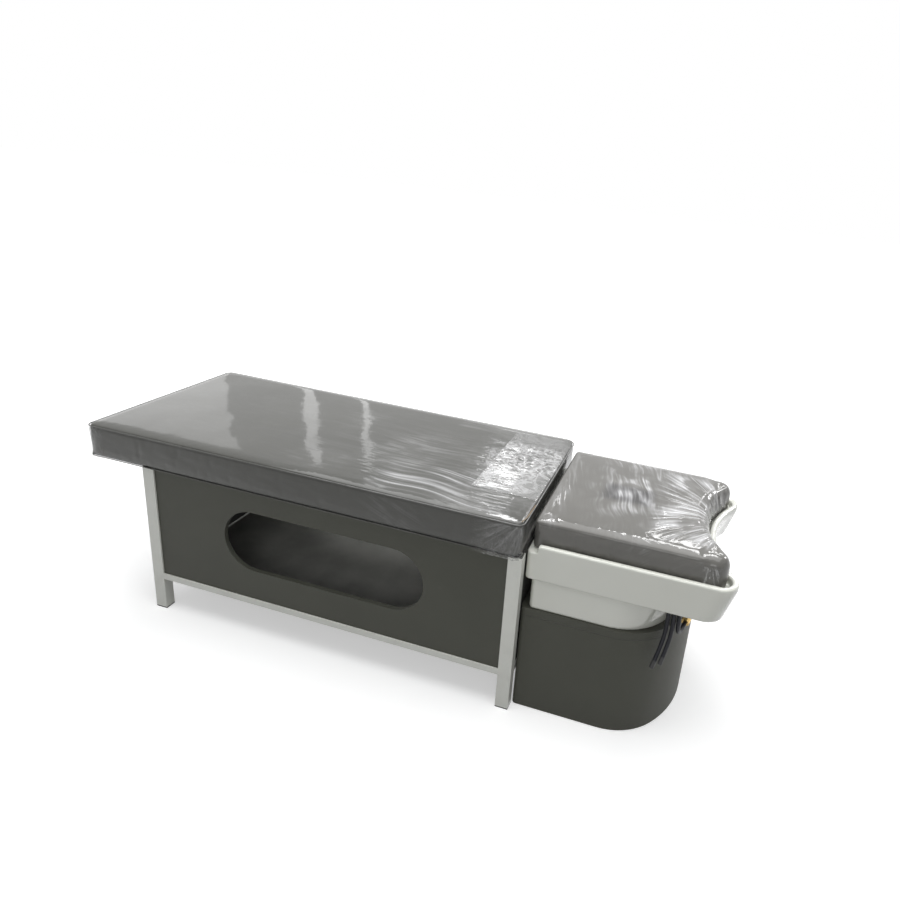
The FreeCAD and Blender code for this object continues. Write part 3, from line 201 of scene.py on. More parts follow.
def panel_leatherette(name="panel_leatherette", seam_height=None):
    """Dark leatherette, with a seam round it at a height if one is given."""
    g = Graph(name)
    place = g.place()
    grain = leather_grain(g, place)
    cloud = g.spread(g.noise(place, 3.5, 5, 0.55), 0.3, 0.7)
    rub = g.spread(g.noise(g.scaled(place, (1, 1, 3)), 26, 6, 0.65), 0.62, 0.82)
    colour = g.blend(cloud, (0.052, 0.0532, 0.0412), (0.0605, 0.062, 0.048))
    colour = g.blend(g.math("MULTIPLY", rub, 0.22), colour, (0.17, 0.17, 0.15))
    wave = g.noise(place, 7, 3)
    low = g.bump(wave, 0.004, 0.25)
    if seam_height is not None:
        height = g.add("SeparateXYZ", {"Vector": place}).outputs["Z"]
        offset = g.math("ABSOLUTE", g.math("SUBTRACT", height, seam_height))
        groove = g.spread(offset, 0.0004, 0.0016)
        depth = g.math("MULTIPLY", g.math("SUBTRACT", 1.0, groove), 0.55)
        colour = g.blend(depth, colour, (0.04, 0.04, 0.033))
        low = g.bump(groove, 0.0012, 0.9, low)
    return g.finish({
        "Base Color": colour,
        "Roughness": g.spread(grain, 0, 1.3, 0.62, 0.5),
        "Specular IOR Level": 0.35,
        "Normal": g.bump(grain, 0.00022, 0.55, low),
        "Sheen Weight": 0.06,
        "Sheen Roughness": 0.4,
    })


def ridges(g, vector, across, along, sharpness, detail, narrow):
    """Narrow raised lines: far finer across the flow than along it."""
    thin = g.noise(g.scaled(vector, (across, along, 1)), 1.0, detail, 0.5, 0.08 * detail)
    offset = g.math("ABSOLUTE", g.math("MULTIPLY", g.math("SUBTRACT", thin, 0.5), narrow))
    return g.math("POWER", g.math("SUBTRACT", 1.0, offset, True), sharpness)


def film_height(g, streaks):
    """Creases of stretch film: a coarse and a fine set for each flow over the pad.

    A streak is the flow it follows, its weight, how often its lines come across and
    along the flow, the detail of its noise and how narrow the lines are.
    """
    total = None
    for flow, weight, across, along, detail, narrow in streaks:
        vector = g.attribute(flow, "Vector")
        coarse = ridges(g, vector, across, along, 1.6, detail, narrow)
        fine = ridges(g, vector, across * 2.3, along * 1.7, 1.8, 1, 7.0)
        both = g.math("ADD", coarse, g.math("MULTIPLY", fine, 0.3))
        breaks = g.noise(g.scaled(vector, (across * 0.4, along * 4, 1)), 1.0, 1)
        both = g.math("MULTIPLY", both, g.spread(breaks, 0.36, 0.56, 0.1, 1.0))
        part = g.math("MULTIPLY", both, g.attribute(weight))
        total = part if total is None else g.math("ADD", total, part)
    return total


def film_leatherette(name, streaks, colour, crease_haze_highlight):
    """Leatherette under clear stretch film: a gloss coat with creases of its own."""
    g = Graph(name)
    place = g.place()
    grain = leather_grain(g, place)
    cloud = g.spread(g.noise(place, 5, 4, 0.55), 0.3, 0.7)
    creases = film_height(g, streaks)
    mist = g.spread(g.noise(g.scaled(place, (1, 2.2, 1)), 17, 6, 0.7), 0.45, 0.85)
    haze_highlight_share = g.math("MULTIPLY", g.math("ADD", mist, 0.6), g.attribute("film_haze_and_highlight"))
    base = g.blend(cloud, colour, shade(colour, 0.9))
    # Lighter where the film is hazy: partly milky film, partly a painted highlight.
    base = g.blend(g.math("MULTIPLY", haze_highlight_share, 0.5, True), base, (0.5, 0.5, 0.49))
    # Painted darker where a dark reflection in the film and the shade in the lid's hollow are
    # painted.
    painted_dark_share = g.math("MULTIPLY", g.attribute("film_painted_dark"), 0.5)
    base = g.blend(painted_dark_share, base, (0.022, 0.021, 0.025))
    # Lighter along the creases: partly milky film, partly a painted highlight for the film's
    # glints.
    base = g.blend(g.math("MULTIPLY", creases, crease_haze_highlight, True), base, (0.70, 0.70, 0.715))
    soft = g.bump(g.noise(place, 30, 2), 0.0010, 0.2)
    film = g.bump(creases, 0.0011, 1.0, soft)
    return g.finish({
        "Base Color": base,
        "Roughness": g.spread(grain, 0, 1.3, 0.55, 0.45),
        "Specular IOR Level": 0.12,
        "Normal": g.bump(grain, 0.0001, 0.3, soft),
        "Coat Weight": 1.0,
        "Coat Roughness": 0.055,
        "Coat IOR": 1.4,
        "Coat Normal": film,
    })


def clear_film(name, cover, clutter, scale):
    """Loose film, which shows mostly by its gloss and its folds.

    cover is how much it hides where it is smooth, clutter how much its fine lines hide.
    """
    g = Graph(name)
    place = g.place()
    bent = g.noise(g.scaled(place, (1, 1, 0.4)), scale, 2, 0.5, 0.6)
    offset = g.math("ABSOLUTE", g.math("MULTIPLY", g.math("SUBTRACT", bent, 0.5), 4.5))
    creases = g.math("POWER", g.math("SUBTRACT", 1.0, offset, True), 2.0)
    folds = g.attribute("film_haze_and_highlight")
    lines = g.math("MULTIPLY", g.math("MULTIPLY", creases, clutter), g.attribute("film_clutter"))
    alpha = g.math("ADD", lines, g.math("ADD", folds, cover))
    return g.finish({
        # Painted lighter along the creases, and showing more where hazy: partly milky film, partly
        # a painted highlight.
        "Base Color": g.blend(creases, (0.42, 0.42, 0.41), (0.72, 0.72, 0.72)),
        "Roughness": 0.12,
        "Alpha": g.math("MULTIPLY", alpha, g.attribute("film_edge"), True),
        "Normal": g.bump(lines, 0.0005, 0.8),
        "Coat Weight": 1.0,
        "Coat Roughness": 0.05,
    })


def basin_gloss():
    g = Graph("basin_gloss")
    place = g.place()
    cloud = g.spread(g.noise(place, 4, 4, 0.5), 0.3, 0.7)
    specks = g.spread(g.cells(place, 240), 0.03, 0.06)
    colour = g.blend(cloud, (0.775, 0.784, 0.717), (0.745, 0.753, 0.686))
    dirt = g.math("MULTIPLY", g.math("SUBTRACT", 1.0, specks), 0.04)
    colour = g.blend(dirt, colour, (0.4, 0.4, 0.36))
    wave = g.bump(g.noise(place, 16, 2), 0.001, 0.12)
    return g.finish({
        "Base Color": colour,
        "Roughness": g.spread(cloud, 0, 1, 0.16, 0.24),
        "Normal": wave,
        "Coat Weight": 0.7,
        "Coat Roughness": 0.06,
    })


def plywood():
    g = Graph("plywood")
    place = g.place()
    rings = g.noise(g.scaled(place, (1.2, 12, 60)), 3.0, 6, 0.6, 0.8)
    line = g.spread(rings, 0.35, 0.65)
    fine = g.noise(g.scaled(place, (8, 160, 160)), 2.0, 3)
    colour = g.blend(line, (0.46, 0.33, 0.19), (0.32, 0.21, 0.11))
    colour = g.blend(g.math("MULTIPLY", fine, 0.4), colour, (0.55, 0.42, 0.27))
    return g.finish({
        "Base Color": colour,
        "Roughness": g.spread(fine, 0.3, 0.7, 0.55, 0.7),
        "Normal": g.bump(fine, 0.0004, 0.4),
    })


def board_lining(name, colour):
    """Thin cloth laid over a board."""
    g = Graph(name)
    place = g.place()
    warp, weft = (
        g.add("TexWave", {"Vector": place, "Scale": 260, "Distortion": 0.6}, bands_direction=way)
        for way in "XY"
    )
    weave = g.math("MULTIPLY", warp.outputs[1], weft.outputs[1])
    cloud = g.spread(g.noise(place, 6, 5, 0.6), 0.3, 0.7)
    return g.finish({
        "Base Color": g.blend(cloud, colour, shade(colour, 0.75)),
        "Roughness": 0.8,
        "Specular IOR Level": 0.2,
        "Normal": g.bump(weave, 0.0002, 0.5),
    })


def metal(name, colour, roughness, brushed=0.0):
    g = Graph(name)
    place = g.place()
    fine = g.noise(g.scaled(place, (60, 60, 1400)), 1.0, 3)
    spot = g.spread(g.noise(place, 60, 4, 0.6), 0.45, 0.8)
    return g.finish({
        "Base Color": g.blend(spot, colour, shade(colour, 0.8)),
        "Metallic": 1.0,
        "Roughness": g.spread(spot, 0, 1, roughness, roughness + 0.12),
        "Normal": g.bump(fine, 0.0001, brushed),
    })


def hose_rubber():
    g = Graph("hose_rubber")
    place = g.place()
    mould = g.add("TexWave", {
        "Vector": place, "Scale": 420, "Distortion": 0.4, "Detail": 1,
    }, bands_direction="Z")
    dust = g.spread(g.noise(place, 90, 4, 0.6), 0.4, 0.8)
    return g.finish({
        "Base Color": g.blend(dust, (0.006, 0.007, 0.011), (0.014, 0.014, 0.019)),
        "Roughness": g.spread(dust, 0, 1, 0.36, 0.52),
        "Specular IOR Level": 0.25,
        "Normal": g.bump(mould.outputs[1], 0.0003, 0.35),
    })


def foam():
    g = Graph("foam")
    place = g.place()
    holes = g.cells(place, 700)
    return g.finish({
        "Base Color": g.blend(g.spread(holes, 0, 0.5), (0.5, 0.45, 0.32), (0.75, 0.7, 0.55)),
        "Roughness": 0.9,
        "Normal": g.bump(holes, 0.0008, 0.8),
    })


def bare_leatherette():
    g = Graph("neck_leatherette")
    place = g.place()
    grain = leather_grain(g, place)
    cloud = g.spread(g.noise(place, 9, 4, 0.55), 0.3, 0.7)
    return g.finish({
        "Base Color": g.blend(cloud, (0.118, 0.118, 0.105), (0.135, 0.135, 0.12)),
        "Roughness": g.spread(grain, 0, 1.3, 0.46, 0.36),
        "Normal": g.bump(grain, 0.0002, 0.5),
        "Coat Weight": 0.25,
        "Coat Roughness": 0.25,
    })


# Meshes

OUTLINE_STEP = 0.004
CLOTH_FRAMES = 20
FILM_THICKNESS = 0.0003
FILM_GAP = 0.0008


def mesh_object(name, vertices, faces):
    mesh = bpy.data.meshes.new(name)
    mesh.from_pydata([tuple(v) for v in vertices], [], faces)
    mesh.validate()
    mesh.update()
    item = bpy.data.objects.new(name, mesh)
    scene.collection.objects.link(item)
    mesh.shade_smooth()
    return item


def baked(item):
    """Applies the object's modifiers to its mesh and shades it smooth."""
    graph = bpy.context.evaluated_depsgraph_get()
    mesh = bpy.data.meshes.new_from_object(item.evaluated_get(graph))
    item.modifiers.clear()
    old = item.data
    item.data = mesh
    if old.users == 0:
        bpy.data.meshes.remove(old)
    mesh.shade_smooth()
    return item


def points_of(mesh):
    flat = np.empty(len(mesh.vertices) * 3)
    mesh.vertices.foreach_get("co", flat)
    return flat.reshape(-1, 3)


def set_points(mesh, points):
    mesh.vertices.foreach_set("co", points.astype(np.float32).ravel())
    mesh.update()


def arc(hub, radius, first, last):
    count = max(3, int(abs(last - first) * radius / OUTLINE_STEP))
    angles = np.linspace(first, last, count)
    return np.c_[hub[0] + radius * np.cos(angles), hub[1] + radius * np.sin(angles)]


def run(start, end):
    """Points between two corners, without the corners."""
    length = math.hypot(end[0] - start[0], end[1] - start[1])
    count = max(2, int(length / OUTLINE_STEP))
    shares = np.linspace(0, 1, count)[1:-1, None]
    return np.array(start) * (1 - shares) + np.array(end) * shares


def box_outline(left, right, side, corner, round_corner):
    """A rectangle with rounded corners; the far one at the right has its own radius."""
    turns = [
        (left + corner, -side + corner, math.pi, corner),
        (right - corner, -side + corner, 1.5 * math.pi, corner),
        (right - round_corner, side - round_corner, 0, round_corner),
        (left + corner, side - corner, 0.5 * math.pi, corner),
    ]
    parts = []
    arcs = [arc((x, y), radius, angle, angle + math.pi / 2) for x, y, angle, radius in turns]
    for index, bend in enumerate(arcs):
        parts += [bend, run(bend[-1], arcs[(index + 1) % 4][0])]
    return np.vstack(parts)


def notched_outline(left, tip, side, corner, lobe, depth):
    """Square at the left, with two lobes and a hollow between them at the right."""
    rise = side - lobe
    reach = (depth * depth + rise * rise) / (2 * depth)
    hub = (tip - depth + reach - lobe, 0)
    lean = math.atan2(rise, hub[0] - (tip - lobe))
    near_lobe = arc((tip - lobe, -rise), lobe, -math.pi / 2, lean)
    hollow = arc(hub, reach - lobe, math.pi + lean, math.pi - lean)[1:-1]
    far_lobe = arc((tip - lobe, rise), lobe, -lean, math.pi / 2)
    far_corner = arc((left + corner, side - corner), corner, math.pi / 2, math.pi)
    near_corner = arc((left + corner, -side + corner), corner, math.pi, 1.5 * math.pi)
    return np.vstack([
        near_corner, run(near_corner[-1], near_lobe[0]), near_lobe, hollow, far_lobe,
        run(far_lobe[-1], far_corner[0]), far_corner, run(far_corner[-1], near_corner[0]),
    ])


def horseshoe_outline(left, hub, outer, slot, corner):
    """A U that opens towards the left."""
    near = arc((left + corner, -outer + corner), corner, math.pi, 1.5 * math.pi)
    back = arc((hub, 0), outer, -math.pi / 2, math.pi / 2)
    far = arc((left + corner, outer - corner), corner, math.pi / 2, math.pi)
    far_in = arc((left + corner, slot + corner), corner, math.pi, 1.5 * math.pi)
    inner = arc((hub, 0), slot, math.pi / 2, -math.pi / 2)
    near_in = arc((left + corner, -slot - corner), corner, math.pi / 2, math.pi)
    return np.vstack([
        near, run(near[-1], back[0]), back, run(back[-1], far[0]), far, run(far[-1], far_in[0]),
        far_in, run(far_in[-1], inner[0]), inner, run(inner[-1], near_in[0]), near_in,
        run(near_in[-1], near[0]),
    ])


def outward(points):
    """Unit normals of a closed outline that runs anticlockwise."""
    along = np.roll(points, -1, axis=0) - np.roll(points, 1, axis=0)
    along /= np.linalg.norm(along, axis=1)[:, None]
    return np.c_[along[:, 1], -along[:, 0]]


def stacked(name, outline, rings):
    """A closed form from rings, each an inset per point and a height per point."""
    away = outward(outline)
    count = len(outline)
    vertices = []
    for inset, height in rings:
        flat = outline - away * np.broadcast_to(inset, count)[:, None]
        vertices.append(np.c_[flat, np.broadcast_to(height, count)])
    faces = []
    for level in range(len(rings) - 1):
        low = level * count
        for i in range(count):
            j = (i + 1) % count
            faces.append((low + i, low + j, low + count + j, low + count + i))
    faces.append(tuple(reversed(range(count))))
    last = (len(rings) - 1) * count
    faces.append(tuple(range(last, last + count)))
    return mesh_object(name, np.vstack(vertices), faces)


def cushion_rings(bottom, top, edge, belly, foot):
    """Rings of a boxed pad: edge is its top rounding, which may differ round the outline."""
    rings = [(foot, bottom), (belly * 0.6, bottom + foot * 1.5), (0.0, (bottom + top) / 2)]
    for angle in np.linspace(0, math.pi / 2, 6):
        rings.append((
            belly * 0.4 + edge * (1 - math.cos(angle)), top - edge * (1 - math.sin(angle)),
        ))
    return rings


def remesh(item, fine):
    modifier = item.modifiers.new("remesh", "REMESH")
    modifier.mode = "VOXEL"
    modifier.voxel_size = fine
    baked(item)


def inflate(item, held, pressure, cap, slack):
    """Blows the pad up a little by cloth simulation, by cap at most.

    held gives the share by which each point stays.
    """
    scene.frame_set(1)
    group = item.vertex_groups.new(name="held")
    points = points_of(item.data)
    for index, share in enumerate(held(points)):
        if share > 0.01:
            group.add([index], float(share), "REPLACE")
    cloth = item.modifiers.new("cloth", "CLOTH")
    settings = cloth.settings
    settings.quality = 5
    settings.mass = 0.3
    settings.vertex_group_mass = "held"
    settings.use_pressure = True
    settings.uniform_pressure_force = pressure
    settings.effector_weights.gravity = 0
    settings.shrink_min = -slack
    cloth.collision_settings.use_collision = False
    cloth.point_cache.frame_start = 1
    cloth.point_cache.frame_end = CLOTH_FRAMES
    for step in range(1, CLOTH_FRAMES + 1):
        scene.frame_set(step)
    graph = bpy.context.evaluated_depsgraph_get()
    blown = points_of(item.evaluated_get(graph).data)
    item.modifiers.clear()
    item.vertex_groups.clear()
    shift = blown - points
    reach = np.linalg.norm(shift, axis=1)
    shift *= np.minimum(1, cap / np.maximum(reach, 1e-9))[:, None]
    set_points(item.data, points + shift)
    scene.frame_set(1)


def refine(item):
    modifier = item.modifiers.new("subdivision", "SUBSURF")
    modifier.levels = 1
    modifier.render_levels = 1
    baked(item)


def step_up(values, low, high):
    """0 below low, 1 above high, smooth between."""
    share = np.clip((values - low) / (high - low), 0, 1)
    return share * share * (3 - 2 * share)


def bell(values, centre, width):
    """1 at the centre, fading to 0 on both sides of it."""
    return np.exp(-(((values - centre) / width) ** 2))


def dome(height, end, end_reach, side, side_reach):
    """A pad's rise to its middle, from the distances to its ends and to its sides."""
    return height * (1 - np.exp(-(end / end_reach))) * (1 - np.exp(-(side / side_reach)))


def waves(x, y, seed, count, longest, shortest, heading, spread):
    """Uneven ripples: a seeded sum of waves round one heading."""
    dice = np.random.default_rng(seed)
    total = np.zeros_like(x)
    for _ in range(count):
        length = math.exp(dice.uniform(math.log(shortest), math.log(longest)))
        angle = heading + dice.normal(0, spread)
        phase = dice.uniform(0, 2 * math.pi)
        along = x * math.cos(angle) + y * math.sin(angle)
        total += np.cos(2 * math.pi * along / length + phase) * (length / longest) ** 0.5
    return total / math.sqrt(count)


def tube_along(name, path, radius, sides, closed=False):
    """A thin round strip along points that run about level."""
    path = np.asarray(path, float)
    count = len(path)
    if closed:
        along = np.roll(path, -1, axis=0) - np.roll(path, 1, axis=0)
    else:
        along = np.gradient(path, axis=0)
    along /= np.maximum(np.linalg.norm(along, axis=1), 1e-12)[:, None]
    side = np.cross(along, (0.0, 0.0, 1.0))
    side /= np.linalg.norm(side, axis=1)[:, None]
    top = np.cross(side, along)
    vertices = []
    for i in range(sides):
        angle = 2 * math.pi * i / sides
        vertices.append(path + (side * math.cos(angle) + top * math.sin(angle)) * radius)
    vertices = np.stack(vertices, axis=1).reshape(-1, 3)
    faces = []
    last = count if closed else count - 1
    for k in range(last):
        n = (k + 1) % count
        for i in range(sides):
            j = (i + 1) % sides
            faces.append((k * sides + i, k * sides + j, n * sides + j, n * sides + i))
    if not closed:
        faces.append(tuple(range(sides)))
        faces.append(tuple(reversed(range((count - 1) * sides, count * sides))))
    return mesh_object(name, vertices, faces)


def dress(item, material, body, slot, *stands_for):
    item.data.materials.clear()
    item.data.materials.append(material)
    if stands_for:
        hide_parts(*stands_for)
    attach(item, body)


# Hoses: the length and the centre line of each

HOSES = {
    "cold": (0.1822, [
        (0.844, -0.230, 0.448), (0.844, -0.230, 0.403), (0.845, -0.235, 0.358),
        (0.840, -0.244, 0.313), (0.829, -0.262, 0.272),
    ]),
    "shower": (0.1654, [
        (0.859, -0.230, 0.448), (0.859, -0.230, 0.406), (0.861, -0.236, 0.364),
        (0.857, -0.246, 0.323), (0.849, -0.258, 0.287),
    ]),
    "hot": (0.1609, [
        (0.874, -0.230, 0.448), (0.874, -0.230, 0.407), (0.875, -0.231, 0.3656),
        (0.8795, -0.2158, 0.3438), (0.8868, -0.1912, 0.3354), (0.8941, -0.1666, 0.3438),
    ]),
}
HOSE_DIAMETER = 0.012


def add_hoses(material):
    for word, (length, points) in HOSES.items():
        curve = bpy.data.curves.new("hose_line_" + word, "CURVE")
        curve.dimensions = "3D"
        spline = curve.splines.new("NURBS")
        spline.points.add(len(points) - 1)
        for knot, point in zip(spline.points, points):
            knot.co = (*point, 1)
        spline.order_u = 3
        spline.use_endpoint_u = True
        spline.resolution_u = 14
        curve.bevel_depth = HOSE_DIAMETER / 2
        curve.bevel_resolution = 6
        curve.use_fill_caps = True
        hose = bpy.data.objects.new("hose_line_" + word, curve)
        scene.collection.objects.link(hose)
        curve.materials.append(material)
        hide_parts("hose_" + word)
        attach(hose, "bed")


# Film over the cushions

def film_attributes(mesh, values):
    """Values per point, which the film's materials read by name."""
    for name, data in values.items():
        data = np.asarray(data, float)
        kind, field = ("FLOAT_VECTOR", "vector") if data.ndim == 2 else ("FLOAT", "value")
        layer = mesh.attributes.new(name, kind, "POINT")
        layer.data.foreach_set(field, data.astype(np.float32).ravel())


def patch(points, x_range, y_range, soft):
    """1 inside a rectangle, with soft sides."""
    x, y = points
    share = step_up(x, x_range[0] - soft, x_range[0] + soft)
    share = share * (1 - step_up(x, x_range[1] - soft, x_range[1] + soft))
    share = share * step_up(y, y_range[0] - soft, y_range[0] + soft)
    return share * (1 - step_up(y, y_range[1] - soft, y_range[1] + soft))


def surface_height(item, x, y, fallback):
    hit, place, _, _ = item.ray_cast((x, y, 2), (0, 0, -1))
    return place[2] if hit else fallback


def grid_sheet(name, rows):
    """A sheet from rows of points, with a little thickness."""
    rows = np.asarray(rows)
    count, width = rows.shape[:2]
    faces = []
    for i in range(count - 1):
        for j in range(width - 1):
            a = i * width + j
            faces.append((a, a + 1, a + width + 1, a + width))
    item = mesh_object(name, rows.reshape(-1, 3), faces)
    solid = item.modifiers.new("thick", "SOLIDIFY")
    solid.thickness = FILM_THICKNESS
    solid.offset = 0
    return baked(item)


def match_points(item, rows, values):
    """The rows' values at the points of the sheet that was made from them."""
    known = np.asarray(rows).reshape(-1, 3)
    flat = np.ravel(values)
    tree = KDTree(len(known))
    for index, point in enumerate(known):
        tree.insert(point, index)
    tree.balance()
    return np.array([flat[tree.find(point)[1]] for point in points_of(item.data)])


def film_skirt(name, path, material, body, top, bottom, hub, seed, reach, hang, fade):
    """Film that hangs round a corner in folds which fan out from the hub.

    hub is a distance along the path and a height, reach how far the folds stand out,
    hang how uneven the lower edge is, and fade how softly both ends stop.
    """
    path = np.asarray(path)
    steps = np.r_[0, np.cumsum(np.linalg.norm(np.diff(path, axis=0), axis=1))]
    along = np.arange(0, steps[-1], 0.0022)
    still = np.zeros_like(along)
    line = np.c_[np.interp(along, steps, path[:, 0]), np.interp(along, steps, path[:, 1])]
    slope = np.gradient(line, axis=0)
    slope /= np.linalg.norm(slope, axis=1)[:, None]
    away = np.c_[slope[:, 1], -slope[:, 0]]
    low = bottom + hang * waves(along, still, seed + 1, 7, 0.06, 0.02, 0, 0)
    ends = step_up(along, 0, fade) * (1 - step_up(along, steps[-1] - fade, steps[-1]))
    rows, haze_and_highlight, edge = [], [], []
    for level in np.linspace(0, 1, 44):
        z = top + (low - top) * level
        turn = np.arctan2(along - hub[0], (hub[1] - z) + 0.012)
        fold = waves(turn, still, seed, 14, 0.5, 0.07, 0, 0)
        crest = np.clip(1 - np.abs(fold) * 2.4, 0, 1) ** 2
        near = bell(np.hypot(along - hub[0], hub[1] - z), 0, 0.075)
        out = FILM_GAP + reach * (0.3 + 0.7 * level) * crest
        rows.append(np.c_[line + away * out[:, None], z])
        # The film shows more on the fold crests near the hub and at its lower edge: partly milky
        # film, partly a painted highlight.
        haze_and_highlight.append(0.03 + 0.42 * crest * (0.2 + 0.8 * near) + 0.16 * step_up(level, 0.93, 1.0))
        edge.append(ends * step_up(level, 0.0, 0.12))
    sheet = grid_sheet(name, rows)
    film_attributes(sheet.data, {
        "film_haze_and_highlight": match_points(sheet, rows, haze_and_highlight),
        "film_edge": match_points(sheet, rows, edge),
        "film_clutter": np.ones(len(sheet.data.vertices)),
    })
    dress(sheet, material, body, "cushion_leatherette")


# Mattress

MATTRESS = {"left": -1.0, "right": 0.436, "side": 0.309, "bottom": 0.514, "top": 0.625}
MATTRESS_MIDDLE = -0.282
# What the film does on the mattress, as ranges of x and of y
FILM_MIDDLE = (-0.36, 0.16), (-0.24, 0.16)
FILM_DRAWN_NEAR = (-0.03, 0.37), (-0.295, -0.085)
FILM_DRAWN_FAR = (0.03, 0.32), (0.225, 0.28)
FILM_SMOOTH = (0.225, 0.42), (-0.17, -0.02)
FILM_CRUSHED = (0.20, 0.43), (-0.03, 0.17)
# The loose piece of film near the head end, and its rows and columns
PATCH_X, PATCH_COLUMNS = (0.232, 0.4345), 82
PATCH_Y, PATCH_ROWS = (-0.172, 0.272), 150


def mattress_outline(inset, corner=0.020, far_corner=0.036):
    m = MATTRESS
    return box_outline(
        m["left"] + inset, m["right"] - inset, m["side"] - inset, corner, far_corner,
    )


def mattress_edges(x, y):
    """The distances to the nearer end and to the nearer side."""
    ends = np.minimum(x - MATTRESS["left"], MATTRESS["right"] - x)
    return ends, MATTRESS["side"] - np.abs(y)


def mattress_masks(x, y, z):
    """The flows that the film's creases follow, and how strong each effect is."""
    top = step_up(z, MATTRESS["top"] - 0.02, MATTRESS["top"])
    cloud = step_up(waves(x, y, 22, 8, 0.5, 0.15, 1.2, 0.9), -0.5, 0.9)
    middle = patch((x, y), *FILM_MIDDLE, 0.09)
    drawn = patch((x, y), *FILM_DRAWN_NEAR, 0.04)
    drawn = drawn + 0.5 * patch((x, y), *FILM_DRAWN_FAR, 0.02)
    smooth = patch((x, y), *FILM_SMOOTH, 0.025)
    crushed = patch((x, y), *FILM_CRUSHED, 0.03)
    head = step_up(x, 0.1, 0.25)
    beside = 1 - step_up(z, MATTRESS["top"] - 0.024, MATTRESS["top"] - 0.016)
    near_side = beside * (y < -0.3)
    pulls = near_side * step_up(x, -0.07, 0.05) * (1 - step_up(x, 0.07, 0.20))
    long_across = y + 0.010 * waves(x, y, 21, 6, 0.7, 0.3, 0.2, 0.8)
    long_across = np.where(near_side > 0.5, z + 0.42 * x, long_across)
    coarse_across = y + 0.10 * x + 0.006 * waves(x, y, 25, 5, 0.5, 0.2, 0.2, 0.8)
    long_lines = 0.01 + 0.30 * middle * cloud + 0.3 * smooth + 0.1 * head
    # Haze over the middle, the head end and the drawn parts: partly milky film, partly a painted
    # highlight.
    haze_and_highlight = 0.05 + 0.12 * middle * cloud + 0.25 * head * cloud + 0.1 * drawn
    return {
        "flow_long": np.c_[long_across, x, z],
        "flow_cross": np.c_[x * 0.8 + y * 0.35, y * 0.8 - x * 0.35, z],
        "flow_coarse": np.c_[coarse_across, x, z],
        "crease_long": long_lines * top + 0.2 * pulls,
        "crease_coarse": (1.1 * drawn + 0.06 * middle) * top,
        "crease_cross": (0.9 * crushed + 0.12 * head) * top,
        "film_haze_and_highlight": haze_and_highlight * top,
        "film_painted_dark": np.zeros_like(x),
    }


def add_mattress_pad(material):
    m = MATTRESS
    rings = cushion_rings(m["bottom"], m["top"] - 0.0045, edge=0.009, belly=0.0008, foot=0.003)
    pad = stacked("mattress_cushion", mattress_outline(0.0015), rings)
    remesh(pad, fine=0.0095)

    def held(points):
        x, y, z = points.T
        rim = np.minimum(*mattress_edges(x, y))
        seam = (rim < 0.014) & (z > m["top"] - 0.016)
        foot = z < m["bottom"] + 0.006
        return np.where(seam | foot, 1.0, 0.0)

    inflate(pad, held, pressure=2.0, cap=0.0016, slack=0.002)
    refine(pad)
    mesh = pad.data
    x, y, z = points_of(mesh).T
    edge_x, edge_y = mattress_edges(x, y)
    on_top = step_up(z, m["top"] - 0.013, m["top"] - 0.007)
    crush = waves(x, y, 11, 14, 0.34, 0.12, 0.3, 1.2) * 0.00035
    drag = waves(x, y, 12, 18, 0.05, 0.016, math.pi / 2, 0.12) * 0.0003
    drag *= patch((x, y), (-0.12, 0.40), (-0.295, 0.1), 0.06)
    z = z + on_top * (dome(0.0042, edge_x, 0.09, edge_y, 0.07) + crush + drag)

    # Slack walls, and the groove below the welt
    beside = (1 - on_top) * step_up(z, m["bottom"] + 0.012, m["bottom"] + 0.03)
    beside *= 1 - step_up(z, m["top"] - 0.03, m["top"] - 0.015)
    slump = waves(x, z * 2.5, 13, 12, 0.2, 0.05, 0.5, 0.9) * 0.0006 * beside
    front = step_up(np.abs(y), m["side"] - 0.02, m["side"] - 0.008)
    y = y + np.sign(y) * slump * front
    ends = step_up(np.abs(x - MATTRESS_MIDDLE), 0.70, 0.712)
    x = x + np.sign(x - MATTRESS_MIDDLE) * slump * ends * 0.6
    groove = bell(z, m["top"] - 0.0135, 0.0018) * (1 - on_top) * 0.0016
    y = y - np.sign(y) * groove * front
    x = x - np.sign(x - MATTRESS_MIDDLE) * groove * ends
    z = np.maximum(z, m["bottom"])
    set_points(mesh, np.c_[x, y, z])
    film_attributes(mesh, mattress_masks(x, y, z))
    dress(pad, material, "bed", "cushion_leatherette", "mattress_pad", "mattress_foam")
    return pad


def add_mattress_trim(material):
    """The welt at the top edge and the hem at the bottom one."""
    line = mattress_outline(0.0012, 0.0203, 0.0363)
    for name, drop, radius in (("mattress_welt", 0.0095, 0.0019), ("mattress_hem", 0.1095, 0.0014)):
        height = np.full(len(line), MATTRESS["top"] - drop)
        welt = tube_along(name, np.c_[line, height], radius, 8, True)
        points = points_of(welt.data)
        masks = mattress_masks(*points.T)
        # The welt's film is hazier towards the head end: a painted highlight along the top edge.
        shine = step_up(points[:, 0], -0.5, 0.15)
        masks["film_haze_and_highlight"] = masks["film_haze_and_highlight"] + (0.12 + 0.5 * shine) * (name == "mattress_welt")
        film_attributes(welt.data, masks)
        dress(welt, material, "bed", "cushion_leatherette")


